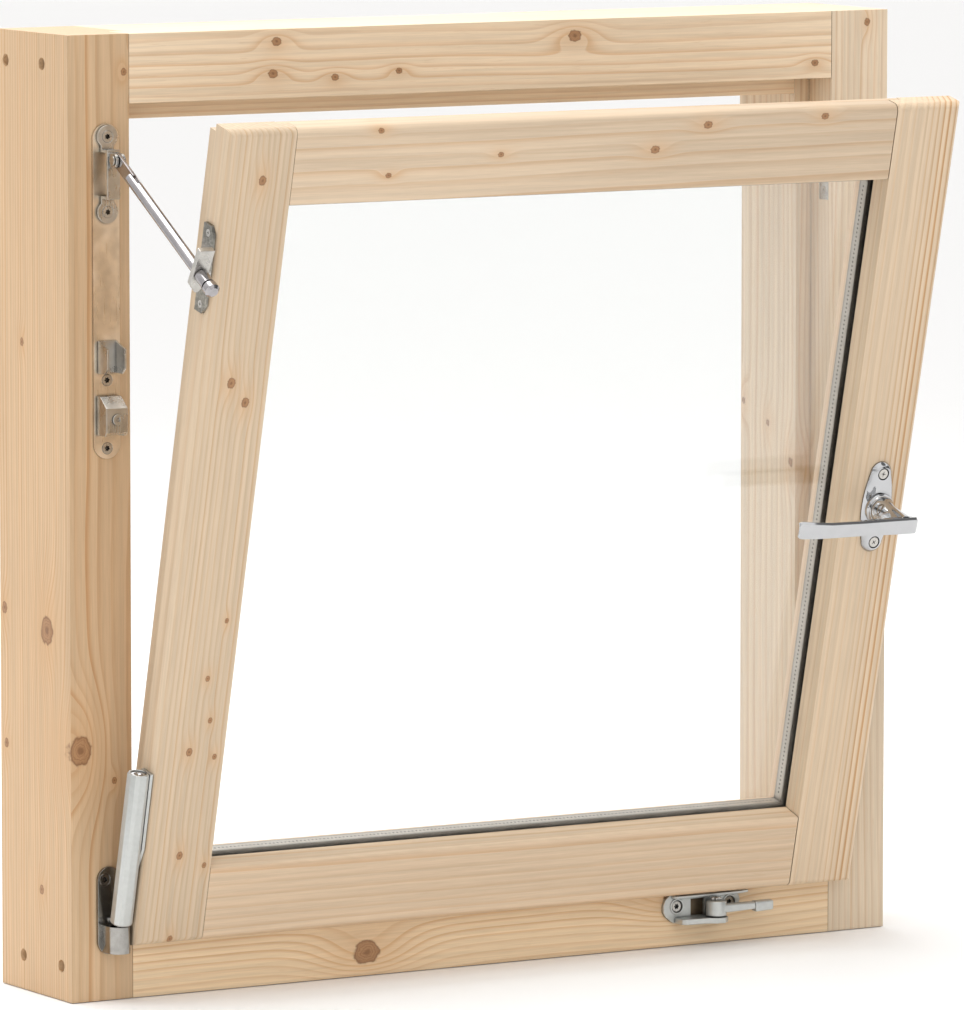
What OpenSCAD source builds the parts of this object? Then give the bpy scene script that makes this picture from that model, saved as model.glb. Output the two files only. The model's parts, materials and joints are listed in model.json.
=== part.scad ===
// Bottom-hung (tilt) window: softwood frame, double-glazed sash, stay, corner hinge and handle.
// Origin: centre of the frame's underside. X runs along the width, Y towards the weather side, Z up.
// Hardware is placed by x from the frame's left edge, f forward of the frame's room face, and z.

/* [Frame] */
// Overall width of the outer frame
frame_w = 690; // [560:5:1000]
// Overall height of the outer frame
frame_h = 690; // [570:5:1000]
// Depth of the frame from the room face to the weather face
frame_d = 107; // [90:1:140]
// Face width of a frame stile at the room side
frame_stile = 49; // [47:1:62]
// Face height of a frame rail at the room side
frame_rail = 49.5; // [47:0.5:62]
// How far the stop behind the rebate stands inwards
stop_in = 13; // [8:1:20]

/* [Sash] */
// Angle of the sash as modelled, from closed
open_deg = 13.64; // [13:0.01:14]
// Thickness of the lip that laps over the frame
lip_t = 18; // [17:0.5:20]
// Lap of the lip over the frame
lap = 8.6; // [7:0.1:9]
// Thickness of the sash body behind the lip
body_t = 28; // [26:1:34]
// Gap beside and above the sash body
body_gap = 3; // [2.5:0.5:4]
// Gap below the sash body
sill_gap = 10.5; // [9:0.5:12]
// Gap between the sash body and the frame's stop
stop_gap = 3.5; // [2.5:0.5:5]
// Face width of a sash stile
sash_stile = 55; // [55:1:66]
// Face height of a sash rail
sash_rail = 56; // [55:1:66]
// Radius of the outer front arris
arris_r = 5.5; // [3:0.5:8]
// How far the sloped reveal runs in towards the glass
reveal_in = 4; // [2:0.5:6]
// Depth of the sloped reveal
reveal_d = 13.5; // [10:0.5:14]

/* [Glazing] */
// Thickness of each glass pane
pane_t = 4; // [3:0.5:5]
// Space between the panes
pane_space = 10; // [8:1:12]
// Thickness of the glazing gasket
gasket_t = 1.5; // [1:0.5:2]
// Cover of the glass edge by the timber
glass_bite = 11; // [9:1:12]
// Clearance round the glass in its rebate
glass_clear = 2; // [1:0.5:3]

/* [Stay] */
// Centre of the stay strip from the frame's left edge
stay_x = 29.5; // [28.5:0.1:30]
// Width of the stay strip
strip_w = 21; // [18:1:21]
// Thickness of the stay strip
strip_t = 2; // [1.5:0.5:2]
// Height of the stay pivot above the frame's underside
pivot_z = 602; // [560:1:640]
// Distance of the stay pivot in front of the frame
pivot_f = 19.5; // [19:0.5:21]
// Distance from the tilt axis to the sash guide, along the sash
guide_up = 505; // [470:1:540]
// Offset of the guide in front of the tilt axis plane
guide_off = 7.5; // [7:0.5:9]
// Diameter of the stay rod
rod_d = 8.5; // [6:0.5:9]

/* [Corner hinge] */
// Centre of the corner hinge from the frame's left edge
hinge_x = 31.5; // [31:0.1:31.8]
// Distance of the tilt axis in front of the frame
axis_f = 12; // [11:0.5:13]
// Height of the tilt axis above the sash's lower edge
axis_up = 1.1; // [0.5:0.1:1.5]
// Radius of the hinge ball
ball_r = 5; // [4:0.5:5]
// Outer radius of the hinge sleeve
sleeve_r = 7.3; // [6.5:0.1:7.4]
// Length of the hinge sleeve
sleeve_len = 115; // [90:5:140]

/* [Handle] */
// Distance of the handle spindle from the sash's right edge
handle_in = 26; // [25:0.5:28]
// Height of the handle spindle above the sash's lower edge
handle_up = 299; // [260:1:340]
// Projection of the lever's back from the sash face
lever_stand = 36; // [30:1:45]
// Length of the lever from the spindle to its tip
lever_len = 92; // [80:1:110]
// Height of the lever
lever_h = 12.5; // [10:0.5:15]
// Distance of each handle screw from the spindle
handle_screw_up = 26.5; // [25:0.5:30]

/* [Keeper] */
// Centre of the keeper plate from the frame's right edge
keeper_in = 162; // [140:1:200]
// Radius of the keeper drum
drum_r = 9; // [7:0.5:9]
// Length of the keeper lever
keeper_len = 46; // [40:1:60]

/* [Hidden] */
$fn = 48;

EPS = 0.5;                  // overshoot of cutting solids
BIG = 4000;                 // longer than any member
lip_gap = 0.5;              // sash lip to frame face when closed
fit = 0.3;                  // free clearance between moving pieces
run_fit = 0.08;             // radial running clearance of a shaft
hole_fit = 0.1;             // radial clearance of a screw in its hole

x_left = -frame_w / 2;
y_room = -frame_d / 2;

rebate_d = body_t - lip_gap + stop_gap;
open_x0 = frame_stile;
open_x1 = frame_w - frame_stile;
open_z0 = frame_rail;
open_z1 = frame_h - frame_rail;
stop_x0 = open_x0 + stop_in;
stop_x1 = open_x1 - stop_in;
stop_z0 = open_z0 + stop_in;
stop_z1 = open_z1 - stop_in;

sash_x0 = open_x0 - lap;
sash_x1 = open_x1 + lap;
sash_z0 = open_z0 - lap;
sash_z1 = open_z1 + lap;
lip_front = lip_gap + lip_t;
body_back = lip_gap - body_t;
body_x0 = open_x0 + body_gap;
body_x1 = open_x1 - body_gap;
body_z0 = open_z0 + sill_gap;
body_z1 = open_z1 - body_gap;
reveal_back = lip_front - reveal_d;

glass_room = reveal_back - gasket_t;
glass_t = 2 * pane_t + pane_space;
glass_weather = glass_room - glass_t;
glass_rebate = glass_bite + glass_clear;
sight_stile = sash_stile + reveal_in;
sight_rail = sash_rail + reveal_in;
rebate_stile = sight_stile - glass_rebate;
rebate_rail = sight_rail - glass_rebate;
glass_x0 = sash_x0 + rebate_stile + glass_clear;
glass_x1 = sash_x1 - rebate_stile - glass_clear;
glass_z0 = sash_z0 + rebate_rail + glass_clear;
glass_z1 = sash_z1 - rebate_rail - glass_clear;
seal_w = 5;                 // width of the edge seal round the spacer
spacer_w = 8;               // width of the spacer

axis_z = sash_z0 + axis_up;

// stay: distances along the rod from its pivot, closed and open
guide_closed_f = axis_f + guide_off;
guide_closed_z = axis_z + guide_up;
guide_open_f = axis_f + guide_off * cos(open_deg) + guide_up * sin(open_deg);
guide_open_z = axis_z - guide_off * sin(open_deg) + guide_up * cos(open_deg);
stay_deg = atan2(guide_open_f - pivot_f, pivot_z - guide_open_z);
stay_reach = norm([guide_open_f - pivot_f, pivot_z - guide_open_z]);
rod_r = rod_d / 2;
guide_t = 5;                // thickness of the guide block along the rod
stop_r = 5;
stop_len = 12;
knob_r = 5.5;
knob_len = 9;
stop_from = stay_reach + guide_t / 2 + fit;
rod_end = stop_from + stop_len + knob_len;

strip_z1 = pivot_z + 25;
strip_z0 = pivot_z - 213;
strip_screw_z = [pivot_z + 16, pivot_z - 37.5, pivot_z - 157, pivot_z - 205.6];
foot_r = 8;
foot_t = 2.5;
pin_r = 2.5;
blade_t = 2.5;
ear_t = 2.2;
ear_gap = blade_t / 2 + fit;

hinge_z0 = axis_z - 6.5;    // underside of the hinge cup
hinge_plate_t = 2.5;
hinge_plate_h = 61;
hinge_screw_in = 6;         // plate screw outside the hinge's centre
hinge_screw_down = 9;       // plate screw below the plate's top
cup_r = 8.4;
cup_bore = ball_r + 1.2;
cup_up = 13;                // cup mouth above the tilt axis
sleeve_from = axis_z + 15.5;
neck_r = 2.6;

handle_x = sash_x1 - handle_in;
handle_z = sash_z0 + handle_up;
spindle_w = 7;
base_t = 9;
lever_t = 9;
rod_travel_r = 8;           // pitch radius of the lock pinion
tooth_n = 16;
tooth_pitch = 2 * PI * rod_travel_r / tooth_n;
groove_d = 9;               // depth of the lock groove in the sash edge
groove_w = 12.6;
lock_f = lip_gap - body_t / 2;
face_t = 2;
cam_r = 3.5;
cam_len = 2.1;
cam_z = [body_z0 + 70, body_z1 - 70];
drive_t = 3;
drive_w = 10;
drive_x = handle_x + rod_travel_r + 1;
case_w = 12;
case_h = 62;
case_x0 = handle_x - 11;
travel = rod_travel_r * PI / 2;

keeper_x = frame_w - keeper_in;
keeper_w = 68;
keeper_t = 2.5;
keeper_z1 = sash_z0 - 2.4;
keeper_z0 = keeper_z1 - 21;
flange_t = 2.5;
drum_x = keeper_x + 6;
drum_f = keeper_t + 10;
drum_z0 = keeper_z0 + flange_t + fit;
drum_z1 = keeper_z1 - flange_t - fit;
keeper_screw_x = [keeper_x - 22.5, keeper_x + 23.5];
keeper_screw_z = keeper_z0 + 12.5;

wood_screw = [4, 28, 8.6, 2.6];      // diameter, length, head diameter, head height
small_screw = [3, 14, 6, 1.8];
leaf_screw = [3, 16, 5, 1];
handle_screw = [4, 26, 8, 2.5];
frame_screw = [5, 84, 9, 3];
screw_sink = 6;             // how deep the frame screws' heads lie under the stile's face
socket_share = 0.4;         // a screw's hexagon socket as a share of its head

// ---------- placing helpers ----------
module at(x, f, z) { translate([x_left + x, y_room - f, z]) children(); }
module bar(x0, x1, f0, f1, z0, z1) {
    at(x0, f1, z0) cube([x1 - x0, f1 - f0, z1 - z0]);
}
// turns a sash piece from its closed place to the modelled one
module on_sash() {
    translate([0, y_room - axis_f, axis_z])
        rotate([open_deg, 0, 0])
            translate([0, axis_f - y_room, -axis_z]) children();
}
// turns a stay piece from its closed, hanging place to the modelled one
module on_stay() {
    translate([0, y_room - pivot_f, pivot_z])
        rotate([-stay_deg, 0, 0])
            translate([0, pivot_f - y_room, -pivot_z]) children();
}
// a cylinder along X, along Y (towards the room) and along Z
module along_x(r, len) { rotate([0, 90, 0]) cylinder(r = r, h = len); }
module along_f(r, len) { rotate([90, 0, 0]) cylinder(r = r, h = len); }
module ring(x0, x1, z0, z1, w, f0, f1) {
    difference() {
        bar(x0, x1, f0, f1, z0, z1);
        bar(x0 + w, x1 - w, f0 - EPS, f1 + EPS, z0 + w, z1 - w);
    }
}

// ---------- screws ----------
// countersunk screw, head up at the origin, shank down; s = [d, length, head d, head height]
module screw(s) {
    difference() {
        union() {
            translate([0, 0, -s[3]]) cylinder(r1 = s[0] / 2, r2 = s[2] / 2, h = s[3]);
            translate([0, 0, -s[1]]) cylinder(d = s[0], h = s[1] - s[3] + EPS / 2);
        }
        translate([0, 0, -s[3] * 0.55]) cylinder(d = s[2] * socket_share, h = s[3], $fn = 6);
    }
}
module screw_hole(s) {
    translate([0, 0, -s[3] - hole_fit])
        cylinder(r1 = s[0] / 2 + hole_fit, r2 = s[2] / 2 + hole_fit, h = s[3] + hole_fit);
    translate([0, 0, -s[1] - hole_fit]) cylinder(r = s[0] / 2 + hole_fit, h = s[1]);
    cylinder(r = s[2] / 2 + hole_fit, h = screw_sink + 1);
}

// ---------- frame ----------
module frame_section_x(x_out, dir) {
    // dir is 1 for the left member, -1 for the right one
    x_face = x_out + dir * frame_stile;
    x_stop = x_face + dir * stop_in;
    bar(min(x_out, x_face), max(x_out, x_face), -frame_d, 0, 0, frame_h);
    bar(min(x_out, x_stop), max(x_out, x_stop), -frame_d, -rebate_d, 0, frame_h);
}
corner_screw_z = [frame_rail / 2, frame_rail / 2, frame_h - 22, frame_h - 22];
corner_screw_f = [-16, -74, -39, -94];
module corner_screw_places() {
    for (i = [0 : 3]) {
        at(screw_sink, corner_screw_f[i], corner_screw_z[i]) rotate([0, -90, 0]) children();
        at(frame_w - screw_sink, corner_screw_f[i], corner_screw_z[i]) rotate([0, 90, 0]) children();
    }
}
module strip_screw_places() {
    for (i = [0 : 3]) {
        lift = i < 2 ? foot_t : 0;
        at(stay_x, strip_t + lift, strip_screw_z[i]) rotate([90, 0, 0]) children();
    }
}
module hinge_screw_place() {
    at(hinge_x - hinge_screw_in, hinge_plate_t, hinge_z0 + hinge_plate_h - hinge_screw_down) rotate([90, 0, 0]) children();
}
module keeper_screw_places() {
    for (x = keeper_screw_x) at(x, keeper_t, keeper_screw_z) rotate([90, 0, 0]) children();
}
strike_h = 60;
strike_t = 1.5;
rib_h = 14;                 // height of the hook rib the roller slides behind
rib_clear = 0.8;            // rib to the sash's edge
strike_screw_in = 7;        // screws from the plate's ends
strike_z = [for (z = cam_z) z + travel];
module strike_screw_places() {
    for (z = strike_z, s = [-1, 1])
        at(open_x1, lock_f, z + s * (strike_h / 2 - strike_screw_in)) rotate([0, -90, 0]) children();
}

module frame_left_stile() {
    color("burlywood") difference() {
        frame_section_x(0, 1);
        corner_screw_places() screw_hole(frame_screw);
        strip_screw_places() screw_hole(wood_screw);
        hinge_screw_place() screw_hole(wood_screw);
    }
}
module frame_right_stile() {
    color("burlywood") difference() {
        frame_section_x(frame_w, -1);
        corner_screw_places() screw_hole(frame_screw);
        for (z = strike_z)
            bar(open_x1 - EPS, open_x1 + strike_t, lock_f - groove_w / 2, lock_f + groove_w / 2,
                z - strike_h / 2, z + strike_h / 2);
        strike_screw_places() screw_hole(small_screw);
    }
}
module frame_rail_bar(z_out, dir) {
    z_face = z_out + dir * frame_rail;
    z_stop = z_face + dir * stop_in;
    bar(open_x0, open_x1, -rebate_d, 0, min(z_out, z_face), max(z_out, z_face));
    bar(stop_x0, stop_x1, -frame_d, -rebate_d, min(z_out, z_stop), max(z_out, z_stop));
}
module frame_top_rail() {
    color("burlywood") difference() {
        frame_rail_bar(frame_h, -1);
        corner_screw_places() screw_hole(frame_screw);
    }
}
module frame_bottom_rail() {
    color("burlywood") difference() {
        frame_rail_bar(0, 1);
        corner_screw_places() screw_hole(frame_screw);
        keeper_screw_places() screw_hole(wood_screw);
    }
}
module frame_corner_screws() { color("silver") corner_screw_places() screw(frame_screw); }
module strike_plates() {
    color("silver") difference() {
        for (z = strike_z) {
            bar(open_x1, open_x1 + strike_t, lock_f - groove_w / 2, lock_f + groove_w / 2,
                z - strike_h / 2, z + strike_h / 2);
            // hook rib that the roller slides behind
            bar(open_x1 - body_gap + rib_clear, open_x1 + strike_t, lock_f + cam_r + fit,
                lock_f + groove_w / 2, z - rib_h / 2, z + rib_h / 2);
        }
        strike_screw_places() screw_hole(small_screw);
    }
}
module strike_screws() { color("silver") strike_screw_places() screw(small_screw); }

// ---------- stay, fixed side ----------
module plate_outline(r, z0, z1) {
    // upright plate with round ends, in the XZ plane
    translate([0, z0 + r]) circle(r = r);
    translate([0, z1 - r]) circle(r = r);
    translate([-r, z0 + r]) square([2 * r, z1 - z0 - 2 * r]);
}
module upright(t) { rotate([90, 0, 0]) linear_extrude(t) children(); }

module stay_strip() {
    color("silver") difference() {
        at(stay_x, 0, 0) upright(strip_t) plate_outline(strip_w / 2, strip_z0, strip_z1);
        strip_screw_places() screw_hole(wood_screw);
    }
}
bridge_z0 = pivot_z - 26;
bridge_z1 = pivot_z + 5;
bridge_f = pivot_f - 8;     // back of the raised strap
bridge_t = 2;
module stay_bracket() {
    strap = 5;              // half the strap's width
    ear_r = pin_r + 2.6;
    foot_z = [strip_screw_z[0], strip_screw_z[1]];
    color("silver") difference() {
        union() {
            for (z = foot_z) at(stay_x, strip_t, z) along_f(foot_r, foot_t);
            // raised strap, its two legs and the tongues that join them to the feet
            bar(stay_x - strap, stay_x + strap, bridge_f, bridge_f + bridge_t, bridge_z0, bridge_z1);
            bar(stay_x - strap, stay_x + strap, strip_t, bridge_f + bridge_t,
                bridge_z0 - bridge_t, bridge_z0);
            bar(stay_x - strap, stay_x + strap, strip_t, bridge_f + bridge_t,
                bridge_z1, bridge_z1 + bridge_t);
            bar(stay_x - strap, stay_x + strap, strip_t, strip_t + foot_t, foot_z[1], bridge_z0);
            bar(stay_x - strap, stay_x + strap, strip_t, strip_t + foot_t, bridge_z1, foot_z[0]);
            for (s = [-1, 1]) {
                ear_x = stay_x + s * (ear_gap + ear_t / 2) - ear_t / 2;
                at(ear_x, pivot_f, pivot_z) along_x(ear_r, ear_t);
                bar(ear_x, ear_x + ear_t, bridge_f, pivot_f, pivot_z - ear_r, bridge_z1);
            }
        }
        at(stay_x - strip_w / 2, pivot_f, pivot_z) along_x(pin_r, strip_w);
        strip_screw_places() screw_hole(wood_screw);
    }
}
module stay_pivot_pin() {
    half = ear_gap + ear_t;
    head_t = 1.2;
    color("silver") {
        at(stay_x - half, pivot_f, pivot_z) along_x(pin_r, 2 * half);
        for (s = [-1, 1])
            at(stay_x + s * (half + head_t / 2) - head_t / 2, pivot_f, pivot_z)
                along_x(pin_r + 1, head_t);
    }
}
module strip_screws() { color("silver") strip_screw_places() screw(wood_screw); }

fork_z0 = pivot_z - 152;
fork_z1 = pivot_z - 129;
fork_in = max(stop_r, rod_r) + 1.2;
fork_t = 1.5;
module stay_fork() {
    color("silver") {
        bar(stay_x - fork_in - fork_t, stay_x + fork_in + fork_t, strip_t, strip_t + fork_t,
            fork_z0, fork_z1);
        for (s = [-1, 1])
            at(stay_x + s * (fork_in + fork_t / 2) - fork_t / 2, strip_t, 0)
                rotate([90, 0, 90]) linear_extrude(fork_t)
                    polygon([[0, fork_z0], [-10, fork_z0], [-15, fork_z0 + 4], [-15, fork_z1 - 5],
                             [0, fork_z1]]);
    }
}
keep_z0 = pivot_z - 196;
keep_z1 = pivot_z - 168;
keep_f = 15;
keep_w = 17;
keep_wall = 2;
keep_screw_z = keep_z0 + 12;
keep_thread_r = 2.6;
module lower_keep() {
    color("silver") difference() {
        at(stay_x - keep_w / 2, strip_t, 0)
            rotate([90, 0, 90]) linear_extrude(keep_w)
                polygon([[0, keep_z0], [-keep_f + 3, keep_z0], [-keep_f, keep_z0 + 3],
                         [-keep_f, keep_z1 - 8], [-5, keep_z1], [0, keep_z1]]);
        // the keep is bent sheet: hollow behind, open below
        bar(stay_x - keep_w / 2 + keep_wall, stay_x + keep_w / 2 - keep_wall, strip_t - EPS,
            strip_t + keep_f - keep_wall, keep_z0 - EPS, keep_z1 - 10);
        at(stay_x, strip_t + keep_f - 2 * keep_wall, keep_screw_z)
            along_f(keep_thread_r, 3 * keep_wall);
    }
}
module keep_adjuster() {
    color("silver") difference() {
        union() {
            at(stay_x, strip_t + keep_f - 6, keep_screw_z) along_f(keep_thread_r - hole_fit, 6.6);
            at(stay_x, strip_t + keep_f + hole_fit, keep_screw_z) along_f(4, 1.4);
        }
        at(stay_x, strip_t + keep_f + 0.6, keep_screw_z) along_f(1.6, 3, $fn = 6);
    }
}

// ---------- corner hinge ----------
module hinge_plate() {
    plate_r = 9.5;
    color("gray") difference() {
        union() {
            at(hinge_x - 2, 0, 0) upright(hinge_plate_t)
                plate_outline(plate_r, hinge_z0 - 2, hinge_z0 + hinge_plate_h);
            at(hinge_x, axis_f, hinge_z0) cylinder(r = cup_r, h = axis_z + cup_up - hinge_z0);
            bar(hinge_x - cup_r, hinge_x + cup_r, 0, axis_f, hinge_z0, axis_z + cup_up);
        }
        at(hinge_x, axis_f, axis_z - ball_r - fit) cylinder(r = cup_bore, h = 60);
        hinge_screw_place() screw_hole(wood_screw);
    }
}
module hinge_plate_screw() { color("gray") hinge_screw_place() screw(wood_screw); }
module hinge_ball_pin() {
    color("silver") {
        on_sash() at(hinge_x, axis_f, axis_z) {
            sphere(r = ball_r);
            cylinder(r = neck_r, h = sleeve_from - axis_z + 30);
        }
    }
}
module hinge_sleeve() {
    color("lightgray") on_sash() difference() {
        at(hinge_x, axis_f, sleeve_from) cylinder(r = sleeve_r, h = sleeve_len);
        at(hinge_x, axis_f, sleeve_from - EPS) cylinder(r = neck_r, h = 30 + EPS);
        at(hinge_x, axis_f, sleeve_from + sleeve_len - 4) cylinder(r = sleeve_r - 1.6, h = 5);
        bar(hinge_x + sleeve_r - 0.8, sash_x0, 0, 30, sleeve_from - EPS, sleeve_from + sleeve_len + EPS);
    }
}
leaf_z0 = sleeve_from + sleeve_len * 0.38;
leaf_z1 = sleeve_from + sleeve_len;
module leaf_screw_places() {
    for (z = [leaf_z0 + 18, leaf_z1 - 14])
        at(sash_x0 - 2, axis_f, z) rotate([0, -90, 0]) children();
}
module hinge_leaf() {
    // flat wing between the sleeve and the sash edge, its lower end cut on the slant
    color("lightgray") on_sash() difference() {
        at(hinge_x + sleeve_r - 0.8, 0, 0)
            rotate([90, 0, 90]) linear_extrude(sash_x0 - hinge_x - sleeve_r + 0.8)
                polygon([[-lip_front + 1, leaf_z0 + 14], [-axis_f, leaf_z0 - 4], [-axis_f + 8, leaf_z0 + 6],
                         [-axis_f + 8, leaf_z1], [-lip_front + 1, leaf_z1]]);
        leaf_screw_places() screw_hole(leaf_screw);
    }
}
module hinge_leaf_screws() { color("silver") on_sash() leaf_screw_places() screw(leaf_screw); }
module hinge_cap() {
    color("silver") on_sash() difference() {
        at(hinge_x, axis_f, sleeve_from + sleeve_len - 4) cylinder(r = sleeve_r - 1.6, h = 3.2);
        at(hinge_x, axis_f, sleeve_from + sleeve_len + 1.6) sphere(r = 4);
    }
}

// ---------- keeper on the bottom rail ----------
module keeper_plate() {
    half = keeper_w / 2;
    color("lightgray") difference() {
        union() {
            at(keeper_x, 0, 0) upright(keeper_t)
                polygon([[-half, keeper_z0 + 9], [-half + 9, keeper_z0], [half - 22, keeper_z0],
                         [half - 8, keeper_z0 + 6], [half, keeper_z0 + 8], [half, keeper_z1],
                         [-half + 3, keeper_z1], [-half, keeper_z1 - 4]]);
            // top and bottom flanges that carry the drum's pin
            bar(keeper_x - half + 4, keeper_x + half + 5, keeper_t - 1, keeper_t + 8,
                keeper_z1 - flange_t, keeper_z1);
            at(drum_x, drum_f, keeper_z1 - flange_t) cylinder(r = 8, h = flange_t);
            bar(drum_x - 8, drum_x + 8, keeper_t - 1, drum_f, keeper_z1 - flange_t, keeper_z1);
            bar(keeper_x - half + 9, drum_x + 9, keeper_t - 1, drum_f, keeper_z0, keeper_z0 + flange_t);
            at(drum_x, drum_f, keeper_z0) cylinder(r = 9, h = flange_t);
            // raised cheek between the left screw and the drum
            bar(keeper_x - half + 21, drum_x - drum_r - 3.5, keeper_t - 1, drum_f,
                keeper_z0, keeper_z1);
        }
        at(drum_x, drum_f, keeper_z0 - EPS) cylinder(r = pin_r, h = 40);
        keeper_screw_places() screw_hole(wood_screw);
    }
}
module keeper_pin() {
    color("silver") {
        at(drum_x, drum_f, keeper_z0) cylinder(r = pin_r, h = keeper_z1 - keeper_z0);
        at(drum_x, drum_f, keeper_z0 - 0.8) cylinder(r = pin_r + 1, h = 0.8);
    }
}
module keeper_screws() { color("silver") keeper_screw_places() screw(wood_screw); }
module keeper_lever() {
    mid_z = (drum_z0 + drum_z1) / 2;
    color("lightgray") difference() {
        union() {
            at(drum_x, drum_f, drum_z0) cylinder(r = drum_r, h = drum_z1 - drum_z0);
            bar(drum_x, drum_x + keeper_len - 14, drum_f + 1, drum_f + 7, mid_z - 3, mid_z + 4);
            bar(drum_x + keeper_len - 14, drum_x + keeper_len, drum_f + 1, drum_f + 8,
                mid_z - 5, mid_z + 4);
        }
        at(drum_x, drum_f, drum_z0 - EPS) cylinder(r = pin_r + run_fit, h = 40);
    }
}

// ---------- sash timber ----------
module arris_cut() {
    // what rounding takes off a corner whose two faces lie on +x and +y, corner at the origin
    translate([-arris_r, -arris_r]) difference() {
        square(arris_r + EPS);
        circle(r = arris_r);
    }
}
// lip and body seen along one edge: a = along the face, y = towards the weather side
module lip_and_body(a0, a1, b0, b1) {
    difference() {
        union() {
            translate([a0, -lip_front]) square([a1 - a0, lip_t]);
            translate([b0, -lip_gap - EPS]) square([b1 - b0, body_t + EPS]);
        }
        translate([a1, -lip_front]) mirror([0, 1]) arris_cut();
        translate([a0, -lip_front]) mirror([1, 0]) mirror([0, 1]) arris_cut();
    }
}
module sash_envelope() {
    intersection() {
        translate([x_left, y_room, 0]) linear_extrude(frame_h)
            lip_and_body(sash_x0, sash_x1, body_x0, body_x1);
        translate([x_left, y_room, 0]) rotate([90, 0, 90]) linear_extrude(frame_w)
            mirror([1, 0]) rotate(90) lip_and_body(sash_z0, sash_z1, body_z0, body_z1);
    }
}
// a member of a mitred ring: side is 0 left, 1 right, 2 bottom, 3 top. The 2D child has its
// first axis running inwards from the ring's outer edge and its second towards the weather side.
module mitre_cut(len) {
    reach = 40;
    cut = [[0, 0], [reach, reach], [reach, -EPS], [-EPS, -EPS]];
    rotate([90, 0, 0]) linear_extrude(BIG, center = true) polygon(cut);
    translate([0, 0, len]) mirror([0, 0, 1])
        rotate([90, 0, 0]) linear_extrude(BIG, center = true) polygon(cut);
}
module mitred(side, x0, x1, z0, z1) {
    len = side < 2 ? z1 - z0 : x1 - x0;
    at(side == 1 ? x1 : x0, 0, side == 3 ? z1 : z0)
        mirror([side == 1 ? 1 : 0, 0, 0])
            mirror([0, 0, side == 2 ? 1 : 0])
                rotate([0, side > 1 ? 90 : 0, 0]) difference() {
                    linear_extrude(len) children();
                    mitre_cut(len);
                }
}
module reveal(side) {
    mitred(side, sash_x0 + sash_stile, sash_x1 - sash_stile, sash_z0 + sash_rail, sash_z1 - sash_rail)
        polygon([[0, -lip_front], [reveal_in, -reveal_back], [0, -reveal_back]]);
}
module handle_places() {
    for (s = [-1, 1])
        at(handle_x, lip_front + 4.5, handle_z + s * handle_screw_up) rotate([90, 0, 0]) children();
}
module guide_screw_places() {
    for (s = [-1, 1])
        at(sash_x0 - 2.5, guide_closed_f - 9, guide_closed_z + s * 26) rotate([0, -90, 0]) children();
}
module face_screw_places() {
    for (z = [body_z0 + 30, body_z1 - 30])
        at(body_x1, lock_f, z) rotate([0, 90, 0]) children();
}
module sash_left_stile() {
    color("wheat") on_sash() {
        difference() {
            intersection() {
                sash_envelope();
                union() {
                    bar(0, sash_x0 + sash_stile, reveal_back, 60, 0, frame_h);
                    bar(0, sash_x0 + rebate_stile, -60, reveal_back, 0, frame_h);
                }
            }
            guide_screw_places() screw_hole(small_screw);
            leaf_screw_places() screw_hole(leaf_screw);
        }
        reveal(0);
    }
}
module sash_right_stile() {
    color("wheat") on_sash() {
        difference() {
            intersection() {
                sash_envelope();
                union() {
                    bar(sash_x1 - sash_stile, frame_w, reveal_back, 60, 0, frame_h);
                    bar(sash_x1 - rebate_stile, frame_w, -60, reveal_back, 0, frame_h);
                }
            }
            // edge groove of the lock, the mortise of its case and the spindle and screw holes
            bar(body_x1 - groove_d, body_x1 + EPS, lock_f - groove_w / 2, lock_f + groove_w / 2,
                body_z0 + 12, body_z1 - 12);
            bar(case_x0 - fit, body_x1, lock_f - case_w / 2 - fit, lock_f + case_w / 2 + fit,
                handle_z - case_h / 2 - fit, handle_z + case_h / 2 + fit);
            at(handle_x, lock_f, handle_z) along_f(7, 60);
            handle_places() screw_hole(handle_screw);
            face_screw_places() screw_hole(small_screw);
        }
        reveal(1);
    }
}
module sash_rail_bar(front, back, side) {
    color("wheat") on_sash() {
        intersection() {
            sash_envelope();
            union() {
                bar(sash_x0 + sash_stile, sash_x1 - sash_stile, reveal_back, 60, front[0], front[1]);
                bar(sash_x0 + rebate_stile, sash_x1 - rebate_stile, -60, reveal_back, back[0], back[1]);
            }
        }
        reveal(side);
    }
}
module sash_bottom_rail() {
    sash_rail_bar([0, sash_z0 + sash_rail], [0, sash_z0 + rebate_rail], 2);
}
module sash_top_rail() {
    sash_rail_bar([sash_z1 - sash_rail, frame_h], [sash_z1 - rebate_rail, frame_h], 3);
}

// ---------- glazing ----------
module pane(f0) {
    on_sash() bar(glass_x0, glass_x1, f0, f0 + pane_t, glass_z0, glass_z1);
}
module glass_pane_room() { color("lightcyan") pane(glass_room - pane_t); }
module glass_pane_weather() { color("lightcyan") pane(glass_weather); }
module glass_spacer() {
    color("lightgray") on_sash()
        ring(glass_x0 + seal_w, glass_x1 - seal_w, glass_z0 + seal_w, glass_z1 - seal_w, spacer_w,
             glass_weather + pane_t, glass_room - pane_t);
}
module glass_edge_seal() {
    color("black") on_sash()
        ring(glass_x0, glass_x1, glass_z0, glass_z1, seal_w, glass_weather + pane_t,
             glass_room - pane_t);
}
module glazing_gasket() {
    w = glass_bite - 1;
    color("black") on_sash()
        ring(glass_x0, glass_x1, glass_z0, glass_z1, w, glass_room, glass_room + gasket_t);
}
module bead(side) {
    depth = glass_weather - body_back;
    color("wheat") on_sash()
        mitred(side, sash_x0 + rebate_stile, sash_x1 - rebate_stile,
               sash_z0 + rebate_rail, sash_z1 - rebate_rail)
            polygon([[0, -glass_weather], [glass_rebate, -glass_weather],
                     [glass_rebate, -glass_weather + 4], [glass_rebate - 4, -glass_weather + depth],
                     [0, -glass_weather + depth]]);
}
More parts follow.
